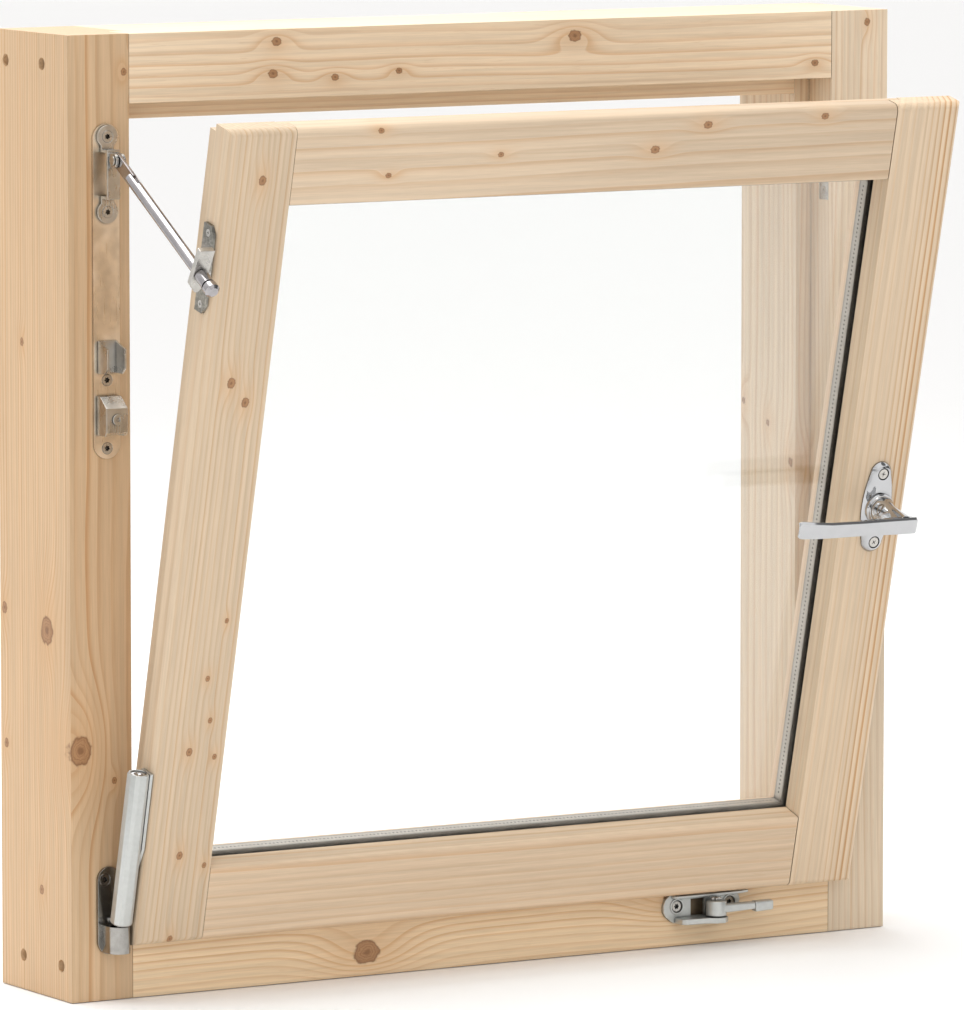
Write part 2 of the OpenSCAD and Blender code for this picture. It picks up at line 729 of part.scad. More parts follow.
module glazing_bead_left() {
    difference() {
        bead(0);
        on_sash() bead_pin_places(0) bead_pin_hole();
    }
}
module glazing_bead_right() {
    difference() {
        bead(1);
        on_sash() bead_pin_places(1) bead_pin_hole();
    }
}
module glazing_bead_top() {
    difference() {
        bead(3);
        on_sash() bead_pin_places(3) bead_pin_hole();
    }
}
module glazing_bead_bottom() {
    difference() {
        bead(2);
        on_sash() bead_pin_places(2) bead_pin_hole();
    }
}
bead_pin_r = 0.8;
bead_pin_len = 8;
module bead_pin_hole() { cylinder(r = bead_pin_r, h = bead_pin_len + EPS); }
// pins stand in from the weather face of the beads, four to a side
module bead_pin_places(side) {
    inset = glass_rebate / 2;
    for (i = [0 : 3]) {
        x = side == 0 ? sash_x0 + rebate_stile + inset : side == 1 ? sash_x1 - rebate_stile - inset
            : glass_x0 + (glass_x1 - glass_x0) * (i + 0.5) / 4;
        z = side == 2 ? sash_z0 + rebate_rail + inset : side == 3 ? sash_z1 - rebate_rail - inset
            : glass_z0 + (glass_z1 - glass_z0) * (i + 0.5) / 4;
        at(x, body_back, z) rotate([90, 0, 0]) children();
    }
}
module bead_pins() {
    color("silver") on_sash() for (side = [0 : 3])
        bead_pin_places(side) cylinder(r = bead_pin_r, h = bead_pin_len);
}

// ---------- guide on the sash edge ----------
module guide_plate() {
    color("silver") on_sash() difference() {
        at(sash_x0 - 2.5, 0, 0) rotate([90, 0, 90]) linear_extrude(2.5)
            polygon([[-strip_t - 1.4, guide_closed_z - 32], [-lip_front + 5, guide_closed_z - 32],
                     [-lip_front + 1, guide_closed_z - 26], [-lip_front + 1, guide_closed_z + 26],
                     [-lip_front + 5, guide_closed_z + 32], [-strip_t - 1.4, guide_closed_z + 32]]);
        guide_screw_places() screw_hole(small_screw);
    }
}
module guide_plate_screws() { color("silver") on_sash() guide_screw_places() screw(small_screw); }

// ---------- lock and handle ----------
module lock_faceplate() {
    color("silver") on_sash() difference() {
        bar(body_x1 - face_t, body_x1, lock_f - groove_w / 2 + fit, lock_f + groove_w / 2 - fit,
            body_z0 + 12 + fit, body_z1 - 12 - fit);
        for (z = cam_z)
            bar(body_x1 - face_t - EPS, body_x1 + EPS, lock_f - 2.6, lock_f + 2.6,
                z - 6, z + travel + 6);
        face_screw_places() screw_hole(small_screw);
    }
}
module lock_faceplate_screws() { color("silver") on_sash() face_screw_places() screw(small_screw); }
module lock_case() {
    wall = 1.2;
    x1 = body_x1 - groove_d;
    color("silver") on_sash() difference() {
        bar(case_x0, x1, lock_f - case_w / 2, lock_f + case_w / 2,
            handle_z - case_h / 2, handle_z + case_h / 2);
        bar(case_x0 + wall, x1 + EPS, lock_f - case_w / 2 + wall, lock_f + case_w / 2 - wall,
            handle_z - case_h / 2 + wall, handle_z + case_h / 2 - wall);
        at(handle_x, lock_f - 20, handle_z) along_f(6.5, 60);
        for (s = [-1, 1])
            at(handle_x, lock_f - 20, handle_z + s * handle_screw_up) along_f(2.2, 60);
    }
}
module handle_base() {
    color("silver") on_sash() difference() {
        union() {
            at(handle_x, lip_front, handle_z) upright(4.5)
                plate_outline(12.5, -35, 35);
            at(handle_x, lip_front, handle_z) rotate([90, 0, 0]) cylinder(r1 = 12.5, r2 = 11, h = base_t);
        }
        at(handle_x, lip_front - EPS, handle_z) along_f(6 + run_fit, base_t + 2);
        handle_places() screw_hole(handle_screw);
    }
}
module handle_screws() { color("silver") on_sash() handle_places() screw(handle_screw); }
module handle_lever() {
    neck_from = lip_front + base_t + fit;
    lever_back = lip_front + lever_stand;
    color("silver") on_sash() difference() {
        union() {
            at(handle_x, lip_front, handle_z) along_f(6, base_t + 1);
            at(handle_x, neck_from, handle_z)
                rotate([90, 0, 0]) cylinder(r1 = 10.5, r2 = 7, h = lever_back - neck_from + 1);
            at(handle_x, lever_back, handle_z) along_f(7.2, lever_t);
            // lever blade: swept slightly, with a curved tip
            at(handle_x, lever_back, handle_z) upright(lever_t) difference() {
                translate([-lever_len, -lever_h / 2]) square([lever_len, lever_h]);
                translate([-lever_len, lever_h / 2]) circle(r = 3);
                translate([-lever_len, -lever_h / 2]) circle(r = 3);
            }
        }
        // room face of the lever falls away towards the tip
        at(handle_x - lever_len + 22, lever_back + lever_t + 26, handle_z - 20)
            difference() {
                translate([-40, 0, 0]) cube([40, 26, 40]);
                translate([0, 60, -1]) cylinder(r = 34 + 4, h = 50, $fn = 96);
            }
        at(handle_x, lip_front - EPS, handle_z) rotate([90, 0, 0])
            translate([-spindle_w / 2, -spindle_w / 2, 0]) cube([spindle_w, spindle_w, 16]);
    }
}
module handle_spindle() {
    color("gray") on_sash()
        at(handle_x - spindle_w / 2, lip_front + 12, handle_z - spindle_w / 2)
            cube([spindle_w, lip_front + 12 - lock_f + 5, spindle_w]);
}
module lock_pinion() {
    root = rod_travel_r - 1.2;
    tip = rod_travel_r + 0.7;
    color("gray") on_sash() difference() {
        at(handle_x, lock_f - 3.5, handle_z) upright(7) {
            circle(r = root);
            for (i = [0 : tooth_n - 1]) rotate(i * 360 / tooth_n)
                polygon([[root - 0.3, -0.95], [tip, -0.3], [tip, 0.3], [root - 0.3, 0.95]]);
        }
        at(handle_x, lock_f - 10, handle_z) rotate([90, 0, 0])
            translate([-spindle_w / 2, -spindle_w / 2, 0]) cube([spindle_w, spindle_w, 20]);
    }
}
module drive_rod() {
    rack_root = handle_x + rod_travel_r + 1;
    rack_tip = handle_x + rod_travel_r - 0.6;
    rack_n = 8;
    color("silver") on_sash() {
        bar(rack_root, rack_root + drive_t, lock_f - drive_w / 2, lock_f + drive_w / 2,
            body_z0 + 30 + travel / 2, body_z1 - 36 - travel);
        for (i = [-rack_n : rack_n - 1]) {
            z = handle_z + (i + 0.5) * tooth_pitch - 2 * tooth_pitch;
            at(rack_root + 0.1, lock_f + 3.4, z) rotate([-90, 0, 0])
                linear_extrude(6.8) polygon([[0, -0.9], [0, 0.9], [rack_tip - rack_root, 0.3],
                                             [rack_tip - rack_root, -0.3]]);
        }
    }
}
module roller_cams() {
    color("silver") on_sash() for (z = cam_z) {
        at(drive_x + drive_t, lock_f, z) along_x(2.2, body_x1 - drive_x - drive_t + 0.4);
        at(body_x1 + 0.3, lock_f, z) along_x(cam_r - 0.3, cam_len - 0.3);
    }
}

// ---------- stay, moving side ----------
module stay_rod() {
    color("silver") on_stay() difference() {
        at(stay_x, pivot_f, pivot_z - stop_from - stop_len)
            cylinder(r = rod_r, h = stop_from + stop_len - 22);
        // slot that takes the blade's tang, and the reduced end inside the stop
        bar(stay_x - blade_t / 2, stay_x + blade_t / 2, pivot_f - 10, pivot_f + 10,
            pivot_z - 34, pivot_z - 20);
        difference() {
            at(stay_x, pivot_f, pivot_z - stop_from - stop_len - EPS) cylinder(r = 10, h = stop_len + EPS);
            at(stay_x, pivot_f, pivot_z - stop_from - stop_len - 1) cylinder(r = 3, h = stop_len + 2);
        }
    }
}
module stay_blade() {
    half = 5.2;
    color("silver") on_stay() difference() {
        union() {
            at(stay_x - blade_t / 2, pivot_f, pivot_z) along_x(half, blade_t);
            bar(stay_x - blade_t / 2, stay_x + blade_t / 2, pivot_f - half, pivot_f + half,
                pivot_z - 26, pivot_z);
            bar(stay_x - blade_t / 2, stay_x + blade_t / 2, pivot_f - 3.5, pivot_f + 3.5,
                pivot_z - 34, pivot_z - 20);
        }
        at(stay_x - 5, pivot_f, pivot_z) along_x(pin_r + run_fit, 10);
    }
}
module stay_end_stop() {
    color("silver") on_stay() difference() {
        union() {
            at(stay_x, pivot_f, pivot_z - stop_from - stop_len) cylinder(r = stop_r, h = stop_len);
            at(stay_x, pivot_f, pivot_z - rod_end + 2) cylinder(r = knob_r, h = knob_len - 4);
            at(stay_x, pivot_f, pivot_z - rod_end) cylinder(r1 = knob_r - 2, r2 = knob_r, h = 2);
            at(stay_x, pivot_f, pivot_z - rod_end + knob_len - 2.1)
                cylinder(r1 = knob_r, r2 = stop_r - 1, h = 2.2);
        }
        at(stay_x, pivot_f, pivot_z - stop_from - stop_len) cylinder(r = 3, h = stop_len + 1);
    }
}
guide_half_x = sash_x0 - 2.5 - 2.5 - stay_x;   // block's half width, leaving the pin's head
module guide_block() {
    color("silver") on_stay() difference() {
        at(stay_x, pivot_f, pivot_z - stay_reach - guide_t / 2) linear_extrude(guide_t)
            polygon([[-guide_half_x, -20], [guide_half_x, -20], [guide_half_x, 8], [guide_half_x - 4, 15],
                     [-guide_half_x + 5, 15], [-guide_half_x, 9]]);
        at(stay_x, pivot_f, pivot_z - stay_reach - 10) cylinder(r = rod_r + run_fit, h = 20);
    }
}
module guide_pin() {
    color("silver") on_stay()
        at(stay_x + guide_half_x, pivot_f, pivot_z - stay_reach) along_x(2.4, 2.2);
}

frame_left_stile();
frame_right_stile();
frame_top_rail();
frame_bottom_rail();
frame_corner_screws();
stay_strip();
stay_bracket();
stay_pivot_pin();
strip_screws();
stay_fork();
lower_keep();
keep_adjuster();
hinge_plate();
hinge_plate_screw();
keeper_plate();
keeper_pin();
keeper_screws();
strike_plates();
strike_screws();
keeper_lever();
sash_left_stile();
sash_right_stile();
sash_top_rail();
sash_bottom_rail();
glass_pane_room();
glass_pane_weather();
glass_spacer();
glass_edge_seal();
glazing_gasket();
glazing_bead_left();
glazing_bead_right();
glazing_bead_top();
glazing_bead_bottom();
bead_pins();
hinge_sleeve();
hinge_leaf();
hinge_ball_pin();
hinge_cap();
hinge_leaf_screws();
guide_plate();
guide_plate_screws();
lock_faceplate();
lock_faceplate_screws();
lock_case();
handle_base();
handle_screws();
handle_lever();
handle_spindle();
lock_pinion();
drive_rod();
roller_cams();
stay_rod();
stay_blade();
stay_end_stop();
guide_block();
guide_pin();
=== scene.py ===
import json
import math

import bmesh
import bpy
from mathutils import Euler, Matrix, Vector

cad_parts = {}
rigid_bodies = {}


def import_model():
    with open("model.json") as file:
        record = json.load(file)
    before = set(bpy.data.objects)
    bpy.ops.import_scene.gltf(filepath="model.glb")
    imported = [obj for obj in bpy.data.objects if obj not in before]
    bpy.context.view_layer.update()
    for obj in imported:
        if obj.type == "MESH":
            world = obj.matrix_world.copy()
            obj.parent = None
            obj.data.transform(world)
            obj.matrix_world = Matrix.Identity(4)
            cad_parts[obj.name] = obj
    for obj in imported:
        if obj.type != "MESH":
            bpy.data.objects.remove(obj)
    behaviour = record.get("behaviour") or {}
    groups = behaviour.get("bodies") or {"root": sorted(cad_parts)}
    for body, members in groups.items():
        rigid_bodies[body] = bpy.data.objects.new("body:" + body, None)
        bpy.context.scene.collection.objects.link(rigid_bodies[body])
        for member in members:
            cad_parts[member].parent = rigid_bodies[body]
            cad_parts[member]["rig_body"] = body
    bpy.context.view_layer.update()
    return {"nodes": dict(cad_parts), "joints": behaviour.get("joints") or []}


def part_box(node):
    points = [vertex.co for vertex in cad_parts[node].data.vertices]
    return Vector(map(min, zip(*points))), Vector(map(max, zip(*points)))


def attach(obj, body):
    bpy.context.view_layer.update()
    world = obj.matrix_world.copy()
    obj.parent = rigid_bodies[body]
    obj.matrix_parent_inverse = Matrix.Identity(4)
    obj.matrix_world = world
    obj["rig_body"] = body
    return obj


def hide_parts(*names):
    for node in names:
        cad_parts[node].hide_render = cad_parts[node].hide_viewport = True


bl_info = {
    "name": "Tilt window finish",
    "version": (1, 0, 0),
    "blender": (4, 5, 0),
    "location": "View3D > Sidebar > Tilt Window",
    "description": "Timber, glass and hardware finish for a bottom-hung window",
    "category": "Object",
}

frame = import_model()
NODES = frame["nodes"]

# The tilt axis of the sash and how far the sash stands open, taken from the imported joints
TILT = next(j for j in frame["joints"] if j["name"] == "sash_tilt")
AXIS = Vector(TILT["pos_m"])
OPEN = math.radians(-TILT["range_deg"][0])
FRAME_LO, FRAME_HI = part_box("frame_left_stile")
LEFT = FRAME_LO.x
ROOM = FRAME_LO.y


def on_sash(x, f, z):
    """A point of the open sash. Its place is given with the sash shut, as x from the frame's
    left edge, the distance before the frame's room face, and height."""
    shut = Vector((LEFT + x, ROOM - f, z))
    return AXIS + Matrix.Rotation(OPEN, 3, "X") @ (shut - AXIS)


def closed_box(node):
    """Lowest and highest corner of a sash node with the sash shut, as on_sash takes them."""
    turn = Matrix.Rotation(-OPEN, 3, "X")
    places = [AXIS + turn @ (v.co - AXIS) for v in NODES[node].data.vertices]
    xs = [p.x - LEFT for p in places]
    fs = [ROOM - p.y for p in places]
    zs = [p.z for p in places]
    return Vector((min(xs), min(fs), min(zs))), Vector((max(xs), max(fs), max(zs)))


# ---------- settings ----------
COLOUR = {"size": 3, "subtype": "COLOR", "min": 0, "max": 1}


class TimberSettings(bpy.types.PropertyGroup):
    early: bpy.props.FloatVectorProperty(
        name="Early wood", description="Pale wood between the rings",
        default=(0.740, 0.560, 0.390), **COLOUR)
    late: bpy.props.FloatVectorProperty(
        name="Late wood", description="Darker line of each yearly ring",
        default=(0.560, 0.310, 0.140), **COLOUR)
    knot: bpy.props.FloatVectorProperty(
        name="Knot", description="Heart of a knot",
        default=(0.190, 0.080, 0.030), **COLOUR)
    arris: bpy.props.FloatProperty(
        name="Arris", description="Eased edge of the planed boards", unit="LENGTH",
        subtype="DISTANCE", default=0.0008, min=0.0002, max=0.003)
    roughness: bpy.props.FloatProperty(
        name="Roughness", description="Roughness of the planed face", subtype="FACTOR",
        default=0.56, min=0.2, max=1)


class MetalSettings(bpy.types.PropertyGroup):
    zinc: bpy.props.FloatVectorProperty(
        name="Zinc", description="Bright zinc plating",
        default=(0.50, 0.485, 0.455), **COLOUR)
    satin: bpy.props.FloatVectorProperty(
        name="Satin", description="Satin silver coating",
        default=(0.54, 0.555, 0.54), **COLOUR)
    chrome: bpy.props.FloatVectorProperty(
        name="Chrome", description="Polished handle and cap",
        default=(0.49, 0.495, 0.505), **COLOUR)
    dark: bpy.props.FloatVectorProperty(
        name="Dark plate", description="Glossy dark hinge plate",
        default=(0.34, 0.33, 0.31), **COLOUR)
    edge: bpy.props.FloatProperty(
        name="Edge", description="Rounding of pressed and cast edges", unit="LENGTH",
        subtype="DISTANCE", default=0.0004, min=0.0001, max=0.001)


class GlazingSettings(bpy.types.PropertyGroup):
    alloy: bpy.props.FloatVectorProperty(
        name="Spacer", description="Mill-finish spacer between the panes",
        default=(0.52, 0.48, 0.43), **COLOUR)
    rubber: bpy.props.FloatVectorProperty(
        name="Rubber", description="Gasket and edge seal",
        default=(0.018, 0.017, 0.017), **COLOUR)
    pitch: bpy.props.FloatProperty(
        name="Hole pitch", description="Distance between the spacer's vent holes",
        unit="LENGTH", subtype="DISTANCE", default=0.0032, min=0.002, max=0.01)
    hole: bpy.props.FloatProperty(
        name="Hole radius", description="Radius of a vent hole", unit="LENGTH",
        subtype="DISTANCE", default=0.0008, min=0.0003, max=0.0015)


class StageSettings(bpy.types.PropertyGroup):
    floor: bpy.props.FloatVectorProperty(
        name="Floor", description="Plain pale floor",
        default=(0.96, 0.96, 0.96), **COLOUR)
    sky: bpy.props.FloatProperty(
        name="Fill light", description="Strength of the even studio light",
        default=1.19, min=0, max=3)
    key: bpy.props.FloatProperty(
        name="Key light", description="Power of the large soft light above", unit="POWER",
        default=20, min=0, max=500)


# ---------- building blocks for node trees ----------
class Net:
    """Adds nodes to one tree; an input may be a plain value or another node's socket."""

    def __init__(self, tree):
        self.tree = tree

    def node(self, kind, inputs=None, **settings):
        made = self.tree.nodes.new(kind)
        for name, value in settings.items():
            setattr(made, name, value)
        for key, value in (inputs or {}).items():
            self.put(made.inputs[key], value)
        return made

    def put(self, socket, value):
        if isinstance(value, bpy.types.NodeSocket):
            self.tree.links.new(value, socket)
        else:
            socket.default_value = value

    def math(self, operation, a, b=0.0, c=0.0):
        return self.node("ShaderNodeMath", {0: a, 1: b, 2: c}, operation=operation).outputs[0]

    def times(self, a, b):
        return self.math("MULTIPLY", a, b)

    def plus(self, a, b):
        return self.math("ADD", a, b)

    def minus(self, a, b):
        return self.math("SUBTRACT", a, b)

    def most(self, a, b):
        return self.math("MAXIMUM", a, b)

    def bell(self, value):
        """1 in the middle, falling off to both sides."""
        return self.math("EXPONENT", self.times(self.times(value, value), -1.0))

    def vector(self, operation, a, b=(0, 0, 0)):
        made = self.node("ShaderNodeVectorMath", {0: a, 1: b}, operation=operation)
        return made.outputs["Value" if operation == "LENGTH" else "Vector"]

    def point(self, x, y, z):
        return self.node("ShaderNodeCombineXYZ", {0: x, 1: y, 2: z}).outputs[0]

    def noise(self, vector, scale, detail=2.0, rough=0.5):
        return self.node("ShaderNodeTexNoise", {
            "Vector": vector, "Scale": scale, "Detail": detail, "Roughness": rough}).outputs[0]

    def span(self, value, low, high, out_low=0.0, out_high=1.0, smooth=True):
        made = self.node("ShaderNodeMapRange", {
            "Value": value, "From Min": low, "From Max": high,
            "To Min": out_low, "To Max": out_high})
        made.interpolation_type = "SMOOTHSTEP" if smooth else "LINEAR"
        return made.outputs["Result"]

    def mix(self, factor, a, b):
        made = self.node("ShaderNodeMix", data_type="RGBA")
        self.put(made.inputs["Factor"], factor)
        self.put(made.inputs[6], a)
        self.put(made.inputs[7], b)
        return made.outputs[2]

    def tone(self, colour, amount):
        """Multiplies a colour by a brightness."""
        return self.node("ShaderNodeVectorMath", {0: colour, "Scale": amount},
                         operation="SCALE").outputs[0]

    def open_air(self, reach):
        """1 in the open, less where other surfaces stand within reach."""
        return self.node("ShaderNodeAmbientOcclusion", {"Distance": reach}, samples=6).outputs["AO"]

    def bump(self, height, strength, distance):
        return self.node("ShaderNodeBump", {
            "Height": height, "Strength": strength, "Distance": distance}).outputs[0]


def group_tree(name, kind, inputs, outputs):
    """A node group with named sockets, and a Net on it; each socket is (name, type, default)."""
    tree = bpy.data.node_groups.new(name, kind)
    for label, socket, default in inputs:
        made = tree.interface.new_socket(label, in_out="INPUT", socket_type=socket)
        if default is not None:
            made.default_value = default
    for label, socket in outputs:
        tree.interface.new_socket(label, in_out="OUTPUT", socket_type=socket)
    net = Net(tree)
    return net, net.node("NodeGroupInput").outputs, net.node("NodeGroupOutput").inputs


FLOAT = "NodeSocketFloat"
VECTOR = "NodeSocketVector"
GEOMETRY = "NodeSocketGeometry"


def growth_rings_group():
    """Yearly rings round a pith that lies outside the board. Rings are wavy along the grain."""
    net, given, out = group_tree("Growth rings", "ShaderNodeTree", [
        ("Vector", VECTOR, None), ("Pith", VECTOR, None), ("Ring Width", FLOAT, 0.003),
        ("Wave", FLOAT, 0.01), ("Swirl", FLOAT, 0.0), ("Seed", FLOAT, 0.0),
    ], [("Late", FLOAT), ("Ring Tone", FLOAT), ("Stain", FLOAT)])
    moved = net.vector("ADD", given["Vector"], net.point(given["Seed"], 0.0, given["Seed"]))
    broad = net.noise(net.vector("MULTIPLY", moved, (5.0, 5.0, 1.6)), 1.0, 1.0)
    close = net.noise(net.vector("MULTIPLY", moved, (40.0, 40.0, 5.0)), 1.0, 2.0)
    off_pith = net.vector("SUBTRACT", given["Vector"], given["Pith"])
    flat = net.vector("MULTIPLY", off_pith, (1.0, 1.0, 0.0))
    radius = net.vector("LENGTH", flat)
    waved = net.math("MULTIPLY_ADD", net.minus(broad, 0.5), given["Wave"], radius)
    waved = net.math("MULTIPLY_ADD", net.minus(close, 0.5), 0.0022, waved)
    waved = net.plus(waved, given["Swirl"])
    count = net.math("DIVIDE", waved, given["Ring Width"])
    phase = net.math("FRACT", count)
    ring = net.math("FLOOR", count)
    rise = net.span(phase, 0.25, 0.93)
    fall = net.span(phase, 0.93, 1.0, 1.0, 0.0)
    late = net.times(net.math("POWER", rise, 2.0), fall)
    chance = net.node("ShaderNodeTexWhiteNoise", {"W": ring}, noise_dimensions="1D")
    chance = chance.outputs["Value"]
    weight = net.span(chance, 0.0, 1.0, 0.35, 1.0)
    net.put(out["Late"], net.times(late, weight))
    net.put(out["Ring Tone"], chance)
    net.put(out["Stain"], broad)
    return net.tree


def fibre_group():
    """Fine streaks along the grain: pale and dark fibres, and short open pores."""
    net, given, out = group_tree("Wood fibre", "ShaderNodeTree", [
        ("Vector", VECTOR, None), ("Seed", FLOAT, 0.0),
    ], [("Streak", FLOAT), ("Fleck", FLOAT)])
    moved = net.vector("ADD", given["Vector"], net.point(given["Seed"], given["Seed"], 0.0))
    coarse = net.noise(net.vector("MULTIPLY", moved, (330.0, 330.0, 6.0)), 1.0, 3.0, 0.6)
    fine = net.noise(net.vector("MULTIPLY", moved, (1500.0, 1500.0, 40.0)), 1.0, 2.0, 0.5)
    net.put(out["Streak"], net.plus(net.times(coarse, 0.65), net.times(fine, 0.35)))
    fleck = net.noise(net.vector("MULTIPLY", moved, (700.0, 700.0, 70.0)), 1.0, 1.0, 0.5)
    net.put(out["Fleck"], net.span(fleck, 0.66, 0.78))
    return net.tree


def knot_group():
    """One knot: its heart, dark core, thin rim, the warm wood round it and the rings' swirl."""
    net, given, out = group_tree("Knot", "ShaderNodeTree", [
        ("Vector", VECTOR, None), ("Centre", VECTOR, None), ("Size", VECTOR, None),
    ], [("Heart", FLOAT), ("Core", FLOAT), ("Rim", FLOAT), ("Halo", FLOAT), ("Swirl", FLOAT)])
    away = net.vector("SUBTRACT", given["Vector"], given["Centre"])
    away = net.vector("DIVIDE", away, given["Size"])
    rough = net.noise(net.vector("ADD", away, given["Centre"]), 1.6, 3.0)
    reach = net.plus(net.vector("LENGTH", away), net.times(net.minus(rough, 0.5), 0.7))
    net.put(out["Heart"], net.span(reach, 0.75, 1.05, 1.0, 0.0))
    year = net.span(net.math("FRACT", net.times(reach, 4.2)), 0.55, 0.95, 0.0, 0.6)
    middle = net.span(reach, 0.12, 0.42, 1.0, 0.0)
    inside = net.span(reach, 0.85, 1.0, 1.0, 0.0)
    net.put(out["Core"], net.times(net.most(middle, year), inside))
    edge = net.math("DIVIDE", net.minus(reach, 0.92), 0.11)
    net.put(out["Rim"], net.bell(edge))
    long_away = net.vector("MULTIPLY", away, (0.42, 0.42, 0.25))
    near = net.bell(net.vector("LENGTH", long_away))
    net.put(out["Halo"], near)
    net.put(out["Swirl"], near)
    return net.tree


def plating_group():
    """Blotchy plating: broad mottling, fine drawing lines along one axis, and dull patches."""
    net, given, out = group_tree("Plating", "ShaderNodeTree", [
        ("Vector", VECTOR, None), ("Line Scale", VECTOR, (900.0, 900.0, 25.0)),
        ("Mottle", FLOAT, 160.0),
    ], [("Tone", FLOAT), ("Lines", FLOAT), ("Dull", FLOAT)])
    mottle = net.noise(given["Vector"], given["Mottle"], 3.0)
    patch = net.noise(given["Vector"], 45.0)
    lines = net.noise(net.vector("MULTIPLY", given["Vector"], given["Line Scale"]), 1.0, 2.0)
    net.put(out["Tone"], net.plus(net.times(mottle, 0.5), net.times(patch, 0.5)))
    net.put(out["Lines"], lines)
    net.put(out["Dull"], net.span(patch, 0.45, 0.72))
    return net.tree


MADE = {}
GROUP_MAKERS = {"rings": growth_rings_group, "fibre": fibre_group, "knot": knot_group,
                "plating": plating_group}


def shared(name, maker):
    """What the maker makes, built once under this name."""
    if name not in MADE:
        MADE[name] = maker()
    return MADE[name]


def placed(net, name, inputs):
    """A shader node group placed in a material with its own values; gives its outputs."""
    made = net.node("ShaderNodeGroup", node_tree=shared(name, GROUP_MAKERS[name]))
    for key, value in inputs.items():
        net.put(made.inputs[key], value)
    return made.outputs


def new_material(name):
    """A material, a net on its nodes and its main shader."""
    material = bpy.data.materials.new(name)
    material.use_nodes = True
    net = Net(material.node_tree)
    shader = material.node_tree.nodes["Principled BSDF"]
    return material, net, shader


# ---------- timber ----------
# Every board is cut from its own log: where the pith lies, the ring width, how wavy the rings
# run, its warmth and tone, and the knots as x, z, y and radius with the sash shut.
FRONT = ROOM
LIP = ROOM - 0.0185  # front of the sash's lip when shut
SIDE = 0.345  # outer side of the frame
OPENING = 0.296  # inner side of its stiles
KNOT_DEPTH = 0.016
OPEN_PORE = (0.62, 0.40, 0.22, 1)
WARM_WOOD = (0.62, 0.36, 0.17, 1)
PALE_HEART = (0.40, 0.21, 0.095, 1)
BOARDS = {
    "frame_left_stile": dict(
        run="z", pith=(-0.27, 0.125, 0), ring=0.0030, wave=0.014, seed=1.3, warm=1.0,
        tone=(0.85, 0.79, 0.69),
        knots=[(-SIDE, 0.264, -0.018, 0.0085), (-SIDE, 0.274, 0.047, 0.0036),
               (-SIDE, 0.176, 0.045, 0.0029), (-SIDE, 0.076, -0.008, 0.0029),
               (-SIDE, 0.468, 0.018, 0.0025), (-0.337, 0.181, FRONT, 0.0085),
               (-0.300, 0.663, FRONT, 0.0022), (-0.316, 0.593, FRONT, 0.0029),
               (-0.310, 0.158, FRONT, 0.0020)]),
    "frame_right_stile": dict(
        run="z", pith=(0.43, 0.09, 0), ring=0.0036, wave=0.014, seed=4.1, warm=0.7,
        tone=(0.96, 1.04, 1.11),
        knots=[(0.327, 0.681, FRONT, 0.0025), (OPENING, 0.393, 0.050, 0.0036),
               (OPENING, 0.379, 0.016, 0.0036), (OPENING, 0.352, -0.016, 0.0048)]),
    "frame_top_rail": dict(
        run="x", pith=(-0.715, 0.045, 0), ring=0.0036, wave=0.026, seed=7.7, warm=0.85,
        tone=(1.11, 1.18, 1.22),
        knots=[(-0.176, 0.681, FRONT, 0.0032), (-0.179, 0.658, FRONT, 0.0032),
               (-0.128, 0.654, FRONT, 0.0025), (-0.075, 0.657, FRONT, 0.0022),
               (0.073, 0.678, FRONT, 0.0043), (0.281, 0.652, FRONT, 0.0025)]),
    "frame_bottom_rail": dict(
        run="x", pith=(0.045, 0.03, 0), ring=0.0036, wave=0.024, seed=2.2, warm=0.95,
        tone=(1.12, 1.14, 1.08),
        knots=[(-0.103, 0.017, FRONT, 0.0085), (0.161, 0.038, FRONT, 0.0080)]),
    "sash_left_stile": dict(
        run="z", pith=(-0.195, -0.03, 0), ring=0.0040, wave=0.012, seed=9.4, warm=0.75,
        tone=(0.86, 0.89, 0.9),
        knots=[(-0.273, 0.612, LIP, 0.0029), (-0.279, 0.464, LIP, 0.0032),
               (-0.266, 0.449, LIP, 0.0030), (-0.278, 0.188, LIP, 0.0025),
               (-0.257, 0.183, LIP, 0.0018), (-0.276, 0.109, LIP, 0.0025),
               (-0.255, 0.100, LIP, 0.0018), (-0.276, 0.045, LIP, 0.0022),
               (-0.260, 0.286, LIP, 0.0016), (-0.270, 0.243, LIP, 0.0018),
               (-0.264, 0.211, LIP, 0.0018)]),
    "sash_right_stile": dict(
        run="z", pith=(0.200, -0.02, 0), ring=0.0042, wave=0.008, seed=5.6, warm=0.95,
        tone=(0.93, 0.96, 0.97), bold=(0.270, 0.292), knots=[]),
    "sash_top_rail": dict(
        run="x", pith=(-0.560, 0.01, 0), ring=0.0056, wave=0.012, seed=3.8, warm=0.6,
        tone=(0.88, 0.91, 0.93),
        knots=[(-0.182, 0.645, LIP, 0.0020), (-0.172, 0.612, LIP, 0.0020),
               (-0.082, 0.624, LIP, 0.0020), (0.046, 0.623, LIP, 0.0030),
               (0.088, 0.640, LIP, 0.0029), (0.187, 0.643, LIP, 0.0025)]),
    "sash_bottom_rail": dict(
        run="x", pith=(-0.15, 0.02, 0), ring=0.0054, wave=0.018, seed=6.9, warm=0.65,
        tone=(0.98, 0.99, 0.99), knots=[]),
}
for seed, (side, run, pith) in enumerate((
        ("left", "z", (-0.2, 0.2, 0)), ("right", "z", (0.2, 0.2, 0)),
        ("top", "x", (-0.5, 0.2, 0)), ("bottom", "x", (-0.1, 0.2, 0)))):
    BOARDS["glazing_bead_" + side] = dict(
        run=run, pith=pith, ring=0.0035, wave=0.01, seed=11.0 + seed, warm=0.8,
        tone=(1.0, 1.0, 1.0), knots=[])


